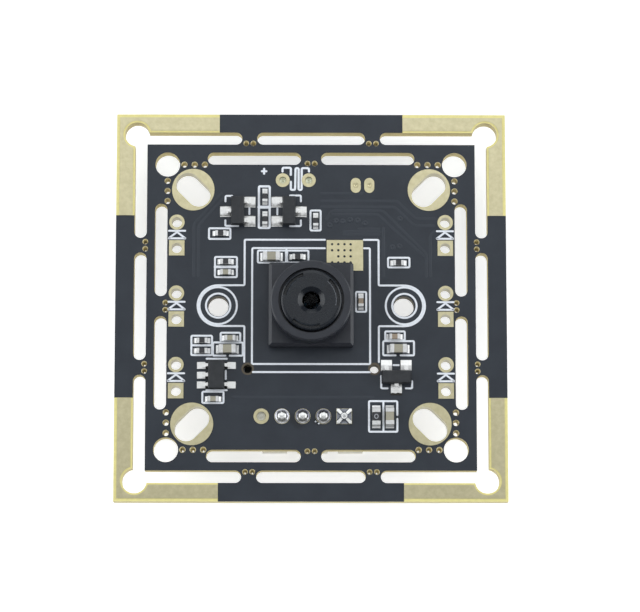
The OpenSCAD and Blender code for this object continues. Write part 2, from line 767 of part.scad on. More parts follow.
// One key slot: a stretch of ring between two radial walls, with an inner wall
// that leans outwards as it goes down
module key_slot() {
    reach = key_outer_d;
    inner = key_inner_d / 2;
    difference() {
        linear_extrude(key_depth + over) intersection() {
            circle(d = key_outer_d);
            polygon([
                [0, 0], [reach * cos(key_angle / 2), -reach * sin(key_angle / 2)], [reach, 0],
                [reach * cos(key_angle / 2), reach * sin(key_angle / 2)]
            ]);
        }
        translate([0, 0, -over]) cylinder(h = over, r = inner + key_lean);
        cylinder(h = key_depth, r1 = inner + key_lean, r2 = inner);
        translate([0, 0, key_depth]) cylinder(h = 2 * over, r = inner);
    }
}

module lens_barrel() {
    outer = barrel_d / 2;
    color([0.15, 0.16, 0.17]) difference() {
        rotate_extrude() polygon(concat(
            [[0, barrel_z], [outer, barrel_z]],
            [for (a = [0:18:90]) [
                outer - barrel_round_w * (1 - cos(a)), barrel_top - barrel_round_h * (1 - sin(a))
            ]],
            [[0, barrel_top]]
        ));
        translate([0, 0, barrel_z - over]) cylinder(h = seat_z - barrel_z + over, d = lens_seat_d);
        cylinder(h = barrel_top + over, d = aperture_d);
        translate([0, 0, barrel_top - countersink_depth])
            cylinder(h = countersink_depth, d1 = aperture_d, d2 = countersink_d);
        for (k = [0:key_slots - 1]) rotate(key_start + k * 360 / key_slots)
            translate([0, 0, barrel_top - key_depth]) key_slot();
    }
}

// A lens turned from a section: flat rim with a crowned middle on both faces
module turned_lens(rim_r, crown_r, rim_t, crown) {
    rotate_extrude() polygon(concat(
        [for (a = [90:-15:0]) [crown_r * cos(a), rim_t / 2 + crown * sin(a)]],
        [[rim_r, rim_t / 2], [rim_r, -rim_t / 2]],
        [for (a = [0:15:90]) [crown_r * cos(a), -rim_t / 2 - crown * sin(a)]]
    ));
}

module front_lens() {
    color([0.2, 0.22, 0.25]) translate([0, 0, seat_z - front_lens_t / 2])
        turned_lens(lens_seat_d / 2 - lens_clear, aperture_d / 2 - 0.08, front_lens_t, spacer_t * 0.45);
}

module lens_spacer() {
    color([0.1, 0.1, 0.11]) translate([0, 0, seat_z - front_lens_t - spacer_t]) difference() {
        cylinder(h = spacer_t, r = lens_seat_d / 2 - lens_clear);
        translate([0, 0, -over]) cylinder(h = spacer_t + 2 * over, d = aperture_d + 0.2);
    }
}

module rear_lens() {
    color([0.2, 0.22, 0.25]) translate([0, 0, seat_z - front_lens_t - spacer_t - rear_lens_t / 2])
        turned_lens(lens_seat_d / 2 - lens_clear, aperture_d / 2, rear_lens_t, spacer_t * 0.45);
}

module infrared_filter() {
    color([0.45, 0.6, 0.62]) translate([-filter_w / 2, -filter_w / 2, filter_z])
        cube([filter_w, filter_w, filter_t]);
}

// The sensor's carrier with its glass cover
module image_sensor() {
    cover = sensor_w * 0.88;
    color([0.3, 0.32, 0.3]) {
        translate([-sensor_w / 2, -sensor_w / 2, 0]) cube([sensor_w, sensor_w, sensor_h / 2]);
        translate([-cover / 2, -cover / 2, 0]) cube([cover, cover, sensor_h]);
    }
}

// Turns what is modelled on the front face over to the rear face
module on_rear() {
    translate([0, 0, rear_z]) mirror([0, 0, 1]) children();
}

// The header's shrouded housing, open away from the board
module header_housing() {
    left = header_hole_x(0) - header_end;
    low = pin_y + header_back - header_w;
    room_l = header_l - 2 * header_wall;
    room_w = header_w - 2 * header_wall;
    color([0.93, 0.92, 0.87]) on_rear() difference() {
        translate([left, low, copper_t]) cube([header_l, header_w, header_h - copper_t]);
        translate([left + header_wall, low + header_wall, header_floor]) cube([room_l, room_w, header_h]);
        for (s = [-1, 1]) translate([pin_x + s * pin_step - latch_w / 2, low - over, header_floor])
            cube([latch_w, header_wall + 2 * over, header_h]);
        for (x = [left - over, left + header_l - header_wall - over])
            translate([x, pin_y - latch_w / 2, header_floor + latch_w])
                cube([header_wall + 2 * over, latch_w, header_h]);
        for (k = [0:pins - 1]) translate([header_hole_x(k), pin_y, 0]) pin_solid(pin_clear, -over, header_h);
    }
}

module header_pin(i) {
    low = rear_z - header_h + pin_recess;
    color([0.8, 0.79, 0.74]) translate([header_hole_x(i - 1), pin_y, 0]) pin_solid(0, low, pin_tip);
}

// A row of gull-wing leads, each on its own solder land
module lead_row(count, step, half_w, h, reach, lead_w) {
    land = lead_w * 1.3;
    for (k = [0:count - 1]) translate([0, (k - (count - 1) / 2) * step, 0]) {
        gull_lead(half_w, foot + h / 2, reach, lead_w);
        translate([half_w + reach * 0.35, -land / 2, 0])
            cube([reach * 0.65 + rear_land_reach, land, solder_t]);
    }
}

module usb_controller() {
    color([0.14, 0.14, 0.15]) on_rear() translate([controller_x, controller_y, 0]) {
        moulded_body(controller_w, controller_w, controller_h);
        four_sides() lead_row(controller_leads, controller_step, controller_w / 2, controller_h,
            controller_reach, controller_lead_w);
    }
}

module flash_memory() {
    color([0.14, 0.14, 0.15]) on_rear() translate([memory_x, memory_y, 0]) {
        rotate(90) moulded_body(memory_l, memory_w, memory_h);
        for (a = [0, 180]) rotate(a)
            lead_row(memory_leads, memory_step, memory_w / 2, memory_h, memory_reach, memory_lead_w);
    }
}

// The crystal: a ceramic base with a slightly smaller metal lid
module crystal() {
    rim = crystal_w / 10;
    color([0.72, 0.7, 0.64]) on_rear() translate([crystal_x, crystal_y, 0]) {
        translate([-crystal_l / 2, -crystal_w / 2, 0]) cube([crystal_l, crystal_w, crystal_h / 2]);
        translate([rim - crystal_l / 2, rim - crystal_w / 2, 0])
            cube([crystal_l - 2 * rim, crystal_w - 2 * rim, crystal_h]);
    }
}

module rear_capacitor(i) {
    on_rear() at_place(rear_capacitors[i - 1]) capacitor_body(i > 2);
}

circuit_board();
for (i = [1:4]) corner_copper(i);
for (i = [1:4]) slot_ring(i);
ground_pad();
lamp_pads();
microphone_pads();
spare_pads();
header_pads();
for (i = [1:len(resistors)]) resistor(i);
for (i = [1:len(capacitors)]) capacitor(i);
for (i = [1:len(transistors)]) transistor(i);
regulator();
for (i = [1:pins]) solder_joint(i);
lens_holder();
lens_barrel();
front_lens();
lens_spacer();
rear_lens();
infrared_filter();
image_sensor();
header_housing();
for (i = [1:pins]) header_pin(i);
usb_controller();
flash_memory();
crystal();
for (i = [1:len(rear_capacitors)]) rear_capacitor(i);
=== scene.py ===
from itertools import cycle
import bpy
import numpy as np
from mathutils import Matrix, Vector


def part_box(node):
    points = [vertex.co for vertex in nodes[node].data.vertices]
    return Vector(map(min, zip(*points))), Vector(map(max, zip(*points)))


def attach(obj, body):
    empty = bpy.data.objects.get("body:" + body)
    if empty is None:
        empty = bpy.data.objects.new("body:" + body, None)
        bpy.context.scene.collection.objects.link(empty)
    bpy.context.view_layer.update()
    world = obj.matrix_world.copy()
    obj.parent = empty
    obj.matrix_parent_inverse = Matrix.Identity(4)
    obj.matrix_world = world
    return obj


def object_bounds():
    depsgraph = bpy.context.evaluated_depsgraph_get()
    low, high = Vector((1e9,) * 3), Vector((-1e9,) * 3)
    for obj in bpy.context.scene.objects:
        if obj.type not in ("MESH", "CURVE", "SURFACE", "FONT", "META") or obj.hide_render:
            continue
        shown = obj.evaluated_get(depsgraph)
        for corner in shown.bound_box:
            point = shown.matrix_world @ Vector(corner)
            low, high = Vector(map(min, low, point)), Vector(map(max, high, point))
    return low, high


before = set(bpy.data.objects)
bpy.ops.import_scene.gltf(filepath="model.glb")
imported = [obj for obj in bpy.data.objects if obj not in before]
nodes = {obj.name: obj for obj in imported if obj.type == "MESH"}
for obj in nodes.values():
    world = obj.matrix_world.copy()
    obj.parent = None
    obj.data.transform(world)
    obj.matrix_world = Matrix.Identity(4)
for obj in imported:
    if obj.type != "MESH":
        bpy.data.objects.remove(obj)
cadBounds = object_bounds()
mm = 0.001
print("camera module:", len(nodes), "solids loaded")


# Quads of a grid: corner (i, k) joins (i, k+1), (i+1, k+1) and (i+1, k); a wrapped
# direction also joins its last line to its first
def gridQuads(rows, columns, wrapRows, wrapColumns):
    i = np.arange(rows if wrapRows else rows - 1)[:, None]
    k = np.arange(columns if wrapColumns else columns - 1)[None, :]
    iNext, kNext = (i + 1) % rows, (k + 1) % columns
    corners = [i * columns + k, i * columns + kNext, iNext * columns + kNext, iNext * columns + k]
    return np.stack(np.broadcast_arrays(*corners), axis=-1).reshape(-1, 4)


# Six times the volume inside quads split along a diagonal: the sum of a . (b x c)
def signedVolume(points, quads):
    a, b, c, d = (points[quads[:, n]] for n in range(4))
    return float((a * np.cross(b, c)).sum() + (a * np.cross(c, d)).sum())


# Several closed surfaces as one: the points one after another, each turned to face outwards
def joined(surfaces):
    pointList, quadList, count = [], [], 0
    for points, quads in surfaces:
        if signedVolume(points, quads) < 0:
            quads = quads[:, ::-1]
        pointList.append(points)
        quadList.append(quads + count)
        count += len(points)
    return np.vstack(pointList), np.vstack(quadList)


# A new piece from closed surfaces given in millimetres
def newPiece(name, surfaces, material, smooth=False):
    points, quads = joined(surfaces)
    mesh = bpy.data.meshes.new(name)
    mesh.from_pydata((points * mm).tolist(), [], quads.tolist())
    mesh.polygons.foreach_set("use_smooth", np.full(len(mesh.polygons), smooth))
    mesh.materials.append(material)
    mesh.validate()
    mesh.update()
    piece = bpy.data.objects.new(name, mesh)
    bpy.context.collection.objects.link(piece)
    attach(piece, "root")


# Each inner corner becomes the curve (1-t)^2 before + 2(1-t)t corner + t^2 after, where before
# and after lie a bend's length from the corner, or a share of the stretch where that is less
def bentPath(corners, closed, bend, steps=5, share=0.45):
    points = np.asarray(corners, float)
    if closed:
        before, here, after = np.roll(points, 1, 0), points, np.roll(points, -1, 0)
    else:
        before, here, after = points[:-2], points[1:-1], points[2:]
    if not len(here):
        return points
    toBefore, toAfter = before - here, after - here
    lengthBefore = np.linalg.norm(toBefore, axis=1, keepdims=True)
    lengthAfter = np.linalg.norm(toAfter, axis=1, keepdims=True)
    start = here + toBefore / lengthBefore * np.minimum(bend, share * lengthBefore)
    end = here + toAfter / lengthAfter * np.minimum(bend, share * lengthAfter)
    t = np.linspace(0, 1, steps)[None, :, None]
    arcs = (1 - t) ** 2 * start[:, None] + 2 * (1 - t) * t * here[:, None] + t ** 2 * end[:, None]
    arcs = arcs.reshape(-1, 2)
    return arcs if closed else np.vstack([points[:1], arcs, points[-1:]])


capTurns = np.radians([12, 35, 60, 82])     # the angles a at which an open end has its lines


# A low ribbon: a trapezium of half width h carried along the path. At an open end the ribbon runs
# on by h cos(a) while its half width falls as h sin(a), so it ends in a half circle
def ribbon(corners, width, low, high, closed=False, bend=0.12, shoulder=0.85):
    path = bentPath(corners, closed, bend)
    half = np.full(len(path), width / 2)
    if closed:
        along = np.roll(path, -1, 0) - np.roll(path, 1, 0)
    else:
        first = (path[0] - path[1]) / np.linalg.norm(path[0] - path[1])
        last = (path[-1] - path[-2]) / np.linalg.norm(path[-1] - path[-2])
        startCap = path[0] + width / 2 * np.cos(capTurns)[:, None] * first
        endCap = path[-1] + width / 2 * np.cos(capTurns[::-1])[:, None] * last
        path = np.vstack([startCap, path, endCap])
        half = np.concatenate([width / 2 * np.sin(capTurns), half, width / 2 * np.sin(capTurns[::-1])])
        along = np.gradient(path, axis=0)
    along /= np.linalg.norm(along, axis=1, keepdims=True)
    side = np.stack([-along[:, 1], along[:, 0]], axis=1)
    across = np.array([-1, -shoulder, shoulder, 1])
    height = np.array([low, high, high, low])
    flat = path[:, None] + side[:, None] * (half[:, None] * across)[..., None]
    points = np.concatenate([flat, np.broadcast_to(height[None, :, None], flat.shape[:2] + (1,))], axis=2)
    quads = gridQuads(len(path), 4, closed, True)
    if not closed:
        n = 4 * (len(path) - 1)
        quads = np.vstack([quads, [[3, 2, 1, 0], [n, n + 1, n + 2, n + 3]]])
    return points.reshape(-1, 3), quads


# Points at radius r round a centre, x + r cos a and y + r sin a, from one angle to another
def arc(x, y, r, start, end, count):
    a = np.radians(np.linspace(start, end, count))
    return np.stack([x + r * np.cos(a), y + r * np.sin(a)], axis=1)


# The same all the way round, with no point twice
def ring(x, y, r, count=28):
    return arc(x, y, r, 0, 360 - 360 / count, count)


# Corners from the lower left one to the right, up and back
def rectangle(x0, y0, x1, y1):
    return [(x0, y0), (x1, y0), (x1, y1), (x0, y1)]


# A form turned about an upright axis: a point (r, z) of the section goes round as x + r cos a,
# y + r sin a, z. The section's first and last points lie close to the axis, or it is a closed ring's
def turned(x, y, section, count=24):
    section = np.asarray(section, float)
    a = np.linspace(0, 2 * np.pi, count, endpoint=False)
    r, z = section[:, 0][:, None], section[:, 1][:, None]
    points = np.stack([x + r * np.cos(a), y + r * np.sin(a), z + 0 * a], axis=2)
    return points.reshape(-1, 3), gridQuads(len(section), count, True, True)


# Noise lies round 0.5, and a change from one tone to another takes one of these stretches of it
soft, crisp, spotted = (0.3, 0.7), (0.35, 0.65), (0.45, 0.75)


class Finish:
    # A material and its node tree, with short calls for the nodes used here. The dictionaries give a
    # noise as the length of its wave in millimetres, its detail and, where it matters, its roughness
    def __init__(self, name, **settings):
        self.material = bpy.data.materials.new(name)
        self.material.use_nodes = True
        self.tree = self.material.node_tree
        self.tree.nodes.clear()
        self.shader = self.add("ShaderNodeBsdfPrincipled")
        out = self.add("ShaderNodeOutputMaterial")
        self.tree.links.new(self.shader.outputs[0], out.inputs["Surface"])
        self.place = self.add("ShaderNodeTexCoord").outputs["Object"]
        self.facing = self.add("ShaderNodeNewGeometry").outputs["Normal"]
        for key, value in settings.items():
            socket = self.shader.inputs[key.replace("_", " ")]
            socket.default_value = (*value, 1) if isinstance(value, tuple) and len(value) == 3 else value

    def add(self, kind):
        return self.tree.nodes.new(kind)

    def feed(self, socket, value):
        if isinstance(value, bpy.types.NodeSocket):
            self.tree.links.new(value, socket)
        elif isinstance(value, tuple):
            socket.default_value = (*value, 1) if len(socket.default_value) == 4 else value
        else:
            socket.default_value = value

    def maths(self, operation, *values):
        node = self.add("ShaderNodeMath")
        node.operation = operation
        for n, value in enumerate(values):
            self.feed(node.inputs[n], value)
        return node.outputs[0]

    def axes(self, vector):
        node = self.add("ShaderNodeSeparateXYZ")
        self.feed(node.inputs[0], vector)
        return node.outputs

    def apart(self, value, middle):
        # how far a coordinate lies from the middle, to either side, in metres
        return self.maths("ABSOLUTE", self.maths("SUBTRACT", value, middle))

    def away(self, x, y, toX, toY):
        # the distance from a point given in millimetres: the root of dx^2 + dy^2
        dx, dy = self.maths("SUBTRACT", x, toX * mm), self.maths("SUBTRACT", y, toY * mm)
        squares = [self.maths("MULTIPLY", d, d) for d in (dx, dy)]
        return self.maths("SQRT", self.maths("ADD", *squares))

    def noise(self, size, detail=3, rough=0.55):
        node = self.add("ShaderNodeTexNoise")
        self.feed(node.inputs["Vector"], self.place)
        node.inputs["Scale"].default_value = 1 / (size * mm)
        node.inputs["Detail"].default_value = detail
        node.inputs["Roughness"].default_value = rough
        return node.outputs[0]

    def wander(self, noise, reach):
        # an offset in metres that strays over the reach, given in millimetres, half to either side
        return self.maths("MULTIPLY", self.maths("SUBTRACT", self.noise(*noise), 0.5), reach * mm)

    def spread(self, value, fromLow, fromHigh, toLow=0, toHigh=1):
        node = self.add("ShaderNodeMapRange")
        for n, v in enumerate((value, fromLow, fromHigh, toLow, toHigh)):
            self.feed(node.inputs[n], v)
        return node.outputs[0]

    def mix(self, share, a, b):
        node = self.add("ShaderNodeMix")
        node.data_type = "RGBA"
        for n, v in zip((0, 6, 7), (share, a, b)):
            self.feed(node.inputs[n], v)
        return node.outputs[2]

    def mottled(self, noise, a, b, stretch=soft):
        return self.mix(self.spread(self.noise(*noise), *stretch), a, b)

    def colour(self, value):
        self.feed(self.shader.inputs["Base Color"], value)

    def roughness(self, value):
        self.feed(self.shader.inputs["Roughness"], value)

    def sheen(self, look):
        # a roughness that wavers between the two that the dictionary gives
        self.roughness(self.spread(self.noise(*look["sheen"]), *soft, *look["roughness"]))

    def metallic(self, value):
        self.feed(self.shader.inputs["Metallic"], value)

    def bump(self, height, depth):
        # depth is in millimetres
        node = self.add("ShaderNodeBump")
        node.inputs["Strength"].default_value = 1
        node.inputs["Distance"].default_value = depth * mm
        self.feed(node.inputs["Height"], height)
        self.feed(self.shader.inputs["Normal"], node.outputs[0])

    def grain(self, look):
        self.bump(self.noise(*look["grain"]), look["bump"])


def shaded(colour, share):
    return tuple(share * c for c in colour)


# Puts one finish on every slot of the named solids
def dress(material, *names):
    for name in names:
        data = nodes[name].data
        if not data.materials:
            data.materials.append(material)
        for slot in nodes[name].material_slots:
            slot.material = material


def numbered(name, count):
    return [f"{name}_{n}" for n in range(1, count + 1)]


boardLook = {
    "mask": (0.013, 0.018, 0.027),
    "maskWorn": (0.018, 0.024, 0.034),
    "cloud": (3.0, 4),
    "faceFrom": 0.5,         # a surface is a face, not a cut wall, where its normal's z passes this
    "laminate": (0.82, 0.74, 0.31),
    "laminateDull": 0.86,
    "weave": (0.5, 5, 0.7),
    "cornerFrom": 16.6,      # the bare corner margin starts here
    "cornerLength": 8.95,    # and keeps this far from the middle of each side
    "wall": (0.75, 0.68, 0.40),
    "wallDark": (0.52, 0.44, 0.22),
    "wallInnerShade": (0.16, 0.14, 0.10),     # painted shade: the walls of the core's own drilled holes are darkened
    "coreHoles": 11.0,
    "layer": 0.2,            # one glass layer of the laminate
    "layerShare": 0.25,
    "layerNoise": (0.25, 4, 0.7),
    "layerStretch": (0.3, 0.9),
    "pegX": 6.13,            # the locating holes' places, and the brown ring's fading edge
    "pegY": -6.13,
    "pegRing": (0.64, 0.56),
    "ringBrown": (0.085, 0.068, 0.045),
    "darkPatches": ((-1.25, -11.15, 0.95), (0.85, -10.95, 0.85)),  # dark patches round two joints: x, y and radius
    "darkPatchTone": (0.004, 0.004, 0.006),
    "darkPatchShare": 0.45,
    "darkPatchFade": 0.35,
    "darkPatchNoise": (0.7, 4),
    "darkPatchReach": 0.9,
    "shine": 0.45,
    "roughness": (0.37, 0.48),
    "mattMore": 0.25,        # bare laminate and cut walls are rougher by this
    "grain": (0.35, 3),
    "bump": 0.006,
}


def boardFinish(look=boardLook):
    f = Finish("board", Specular_IOR_Level=look["shine"])
    x, y, z = f.axes(f.place)
    absX, absY = f.maths("ABSOLUTE", x), f.maths("ABSOLUTE", y)
    far = f.maths("MAXIMUM", absX, absY)
    near = f.maths("MINIMUM", absX, absY)
    bare = f.maths("MULTIPLY", f.maths("GREATER_THAN", far, look["cornerFrom"] * mm),
                   f.maths("GREATER_THAN", near, look["cornerLength"] * mm))
    face = f.maths("GREATER_THAN", f.maths("ABSOLUTE", f.axes(f.facing)[2]), look["faceFrom"])
    mask = f.mottled(look["cloud"], look["mask"], look["maskWorn"], crisp)
    pegShare = f.spread(f.away(absX, y, look["pegX"], look["pegY"]), *(r * mm for r in look["pegRing"]))
    mask = f.mix(pegShare, mask, look["ringBrown"])
    # darker, ragged patches round two joints
    ragged = f.wander(look["darkPatchNoise"], look["darkPatchReach"])
    for patchX, patchY, r in look["darkPatches"]:
        away = f.maths("ADD", f.away(x, y, patchX, patchY), ragged)
        share = f.spread(away, r * mm, (r - look["darkPatchFade"]) * mm)
        mask = f.mix(f.maths("MULTIPLY", share, look["darkPatchShare"]), mask, look["darkPatchTone"])
    weave, grain = f.noise(*look["weave"]), f.noise(*look["grain"])
    laminate = f.mix(f.spread(weave, *soft), look["laminate"],
                     shaded(look["laminate"], look["laminateDull"]))
    stripe = f.maths("SINE", f.maths("MULTIPLY", z, 2 * np.pi / (look["layer"] * mm)))
    layers = f.maths("ADD", f.maths("MULTIPLY", stripe, look["layerShare"]), f.noise(*look["layerNoise"]))
    wall = f.mix(f.spread(layers, *look["layerStretch"]), look["wallDark"], look["wall"])
    # painted shade on the walls of the core's holes
    wall = f.mix(f.maths("LESS_THAN", far, look["coreHoles"] * mm), wall, look["wallInnerShade"])
    f.colour(f.mix(face, wall, f.mix(bare, mask, laminate)))
    matt = f.maths("MAXIMUM", bare, f.maths("SUBTRACT", 1.0, face))
    skin = f.spread(grain, *soft, *look["roughness"])
    f.roughness(f.maths("ADD", skin, f.maths("MULTIPLY", matt, look["mattMore"])))
    f.bump(f.maths("ADD", grain, f.maths("MULTIPLY", weave, matt)), look["bump"])
    return f.material


maskLook = {
    "colour": (0.017, 0.023, 0.033), "paler": 1.12, "cloud": (1.2, 3),
    "sheen": (0.3, 3), "roughness": (0.36, 0.48), "grain": (0.25, 3), "bump": 0.004,
}


def maskFinish(name, look=maskLook):
    f = Finish(name)
    f.colour(f.mottled(look["cloud"], look["colour"], shaded(look["colour"], look["paler"])))
    f.sheen(look)
    f.grain(look)
    return f.material


platingLook = {
    "gold": (0.64, 0.585, 0.375),
    "dull": (0.55, 0.50, 0.31),
    "stain": (0.6, 5, 0.65),
    "hole": (-0.02, -0.4),   # the holes' walls grow duller between these heights
    "holeDull": 0.8,
    "metallic": 0.85,
    "sheen": (0.5, 3), "roughness": (0.30, 0.37), "grain": (0.3, 3), "bump": 0.001,
}


def platingFinish(look=platingLook):
    f = Finish("plating", Metallic=look["metallic"])
    inHole = f.spread(f.axes(f.place)[2], *(height * mm for height in look["hole"]))
    f.colour(f.mix(inHole, f.mottled(look["stain"], look["gold"], look["dull"], crisp),
                   shaded(look["dull"], look["holeDull"])))
    f.sheen(look)
    f.grain(look)
    return f.material


solderLook = {
    "tin": (0.88, 0.88, 0.87),
    "fluxAndShade": (0.74, 0.73, 0.68),
    "spots": (0.35, 5, 0.65),
    "flat": (0.55, 0.93),          # painted light: a flank turns into the bright flat top where its normal's z lies here
    "slopeShade": (0.30, 0.31, 0.34),   # painted shade on steep flanks, but a painted highlight on a heap's lower flank
    "lowFlankHighlight": (0.66, 0.66, 0.64),
    "lowTurn": (0.0, -0.5),        # the painted highlight comes in where its normal's y lies here
    # the rim of a round heap is painted shade; its middle is taken a little low, where the painted highlight
    # sits
    "rimFrom": 0.47,               # a round heap's rim starts here and is full from rimTo on,
    "rimTo": 0.60,                 # measured from a point this far below the heap's middle
    "rimLow": 0.11,
    "metallic": 0.9,
    "sheen": (0.15, 4), "roughness": (0.22, 0.38), "grain": (0.3, 4), "bump": 0.002,
}
# Each joint's painted rim shade, the height below which its solder is painted dark, and its extra roughness
solderJoints = {
    "solder_joint_1": {"rim": (0.46, 0.46, 0.50)},
    "solder_joint_2": {"rim": (0.17, 0.17, 0.20)},
    "solder_joint_3": {"rim": (0.17, 0.17, 0.20)},
    "solder_joint_4": {"sheet": 0.13, "rougher": 0.25},
}


# Painted light: solder is painted bright where it lies flat, and painted dark on steep flanks, on a round
# heap's rim and below a given height
def solderFinish(name, rim=None, sheet=None, rougher=0.0, look=solderLook):
    f = Finish(name + "_finish", Metallic=look["metallic"])
    low, high = (Vector(c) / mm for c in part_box(name))
    centre = (low + high) / 2
    x, y, z = f.axes(f.place)
    tone = f.mottled(look["spots"], look["tin"], look["fluxAndShade"], spotted)
    flat = f.spread(f.maths("ABSOLUTE", f.axes(f.facing)[2]), *look["flat"])
    slopeShade = look["slopeShade"]
    if rim:
        # painted shade on the rim and a painted highlight on the flank that faces down
        away = f.away(x, y, centre.x, centre.y - look["rimLow"])
        share = f.spread(away, look["rimFrom"] * mm, look["rimTo"] * mm)
        tone = f.mix(share, tone, rim)
        slopeShade = f.mix(f.spread(f.axes(f.facing)[1], *look["lowTurn"]), slopeShade, look["lowFlankHighlight"])
        slopeShade = f.mix(share, slopeShade, rim)
    if sheet:
        # painted shade below the given height
        flat = f.maths("MULTIPLY", flat, f.maths("GREATER_THAN", z, sheet * mm))
    f.colour(f.mix(flat, slopeShade, tone))
    f.sheen({"sheen": look["sheen"], "roughness": [r + rougher for r in look["roughness"]]})
    f.grain(look)
    return f.material


chipLook = {
    "resistorTop": (0.020, 0.020, 0.023),
    "resistorPale": (0.034, 0.034, 0.038),
    "resistorSide": (0.70, 0.69, 0.64),
    "resistorRoughness": 0.34,
    "glassT": 0.08,          # a resistor's dark coat lies on its top only
    "olive": ((0.36, 0.34, 0.26), (0.29, 0.27, 0.21)),
    "brown": ((0.34, 0.27, 0.20), (0.27, 0.21, 0.15)),
    "brownParts": ("capacitor_1", "capacitor_5"),
    "capacitorRoughness": 0.48,
    "speck": (0.07, 3, 0.6),
    "tin": (0.70, 0.70, 0.70),
    "tinDull": (0.58, 0.58, 0.56),
    "spots": (0.25, 4),
    "tinMetallic": 0.6,
    "tinRoughness": 0.36,
    "smallLength": 1.0,
    "largeLength": 1.6,
    "largeFrom": 1.9,        # parts that are longer than this, with their solder, are the large ones
    "endShare": 0.24,        # each metal end's part of the length
    "edgeSoft": 0.012,
    "edgeNoise": (0.2, 2),
    "edgeReach": 0.06,
    "grain": (0.16, 3),
    "bump": 0.003,
}


# The middle stretch of the chip is its body and the rest is tinned, measured from its own centre
def chipFinish(name, look=chipLook):
    low, high = (Vector(c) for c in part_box(name))
    size, centre = high - low, (low + high) / 2
    axis = 0 if size.x > size.y else 1
    length = look["largeLength"] if size[axis] > look["largeFrom"] * mm else look["smallLength"]
    edge = length * (0.5 - look["endShare"])
    f = Finish(name + "_finish")
    place = f.axes(f.place)
    wobble = f.wander(look["edgeNoise"], look["edgeReach"])
    along = f.maths("ADD", f.apart(place[axis], centre[axis]), wobble)
    metal = f.spread(along, (edge - look["edgeSoft"]) * mm, (edge + look["edgeSoft"]) * mm)
    speck = f.noise(*look["speck"])
    if "resistor" in name:
        kind = "resistor"
        glassZ = max(abs(low.z), abs(high.z)) - look["glassT"] * mm
        top = f.maths("GREATER_THAN", f.maths("ABSOLUTE", place[2]), glassZ)
        body = f.mix(top, look["resistorSide"], f.mix(speck, look["resistorTop"], look["resistorPale"]))
    else:
        kind = "capacitor"
        pale, dark = look["brown" if name in look["brownParts"] else "olive"]
        body = f.mix(f.spread(speck, *crisp), pale, dark)
    f.colour(f.mix(metal, body, f.mottled(look["spots"], look["tin"], look["tinDull"], spotted)))
    f.metallic(f.maths("MULTIPLY", metal, look["tinMetallic"]))
    f.roughness(f.spread(metal, 0, 1, look[kind + "Roughness"], look["tinRoughness"]))
    f.bump(f.maths("ADD", f.noise(*look["grain"]), speck), look["bump"])
    return f.material


mouldLook = {
    "black": (0.016, 0.018, 0.021),
    "grey": (0.027, 0.029, 0.033),
    "cloud": (0.6, 4),
    "bodyRoughness": 0.55,
    "shine": 0.4,
    "sand": (0.05, 2, 0.6),
    "bump": 0.008,
    "skin": 0.004,                   # the leads' look starts this far outside the body
    "lead": (0.86, 0.86, 0.85),
    "leadDull": (0.78, 0.77, 0.74),
    "spots": (0.2, 4),
    "leadMetallic": 0.6,
    "leadRoughness": 0.36,
    "leadPitch": 0.95,
    "fluxAndShade": (0.035, 0.033, 0.030),   # painted shade, with some dark flux, on the lands near the bodies
    "both": (0.16, 0.26),            # beside the leads: from this far off, up to this far from the body
    "low": (0.06, 0.50),             # or growing towards the lands' low edge, to this share
    "lowShare": 0.8,
    "end": 0.22,                     # or over the lowest land's end
    "ragged": {"both": 0.24, "low": 0.7, "end": 0.24},
    "raggedNoise": (0.25, 3, 0.6),
}
# The moulded bodies' half widths, where leads stand beyond them, and how painted shade with some flux lies
# on the lands
mouldedParts = {
    "transistor_1": {"halfX": 0.65, "fluxAndShade": "low"},
    "transistor_2": {"halfX": 0.65, "fluxAndShade": "low"},
    "transistor_3": {"halfY": 0.65, "fluxAndShade": "end"},
    "regulator": {"halfX": 0.8, "fluxAndShade": "both"},
    "usb_controller": {"halfX": 3.5, "halfY": 3.5},
    "flash_memory": {"halfX": 1.95},
}


# The share of painted shade, with some flux, on a land: beside the leads near the body, towards the lands'
# low side, over the lowest land's end. Leads stand at whole pitches across the axis that they follow
def landShadeShare(f, place, low, centre, axis, half, kind, look):
    ragged = f.wander(look["raggedNoise"], look["ragged"][kind])
    if kind == "end":
        return f.maths("LESS_THAN", f.maths("ADD", place[1], ragged), low.y + look["end"] * mm)
    start, end = (reach * mm for reach in look[kind])
    pitch = look["leadPitch"] * mm
    across = f.maths("SUBTRACT", place[1 - axis], centre[1 - axis])
    nearest = f.maths("MULTIPLY", f.maths("ROUND", f.maths("DIVIDE", across, pitch)), pitch)
    if kind == "low":
        below = f.maths("SUBTRACT", nearest, across)
        return f.spread(f.maths("ADD", below, ragged), start, end, 0, look["lowShare"])
    beside = f.maths("ADD", f.apart(nearest, across), ragged)
    beyond = f.maths("ADD", f.apart(place[axis], centre[axis]), ragged)
    return f.maths("MULTIPLY", f.maths("GREATER_THAN", beside, start),
                   f.maths("LESS_THAN", beyond, half * mm + end))


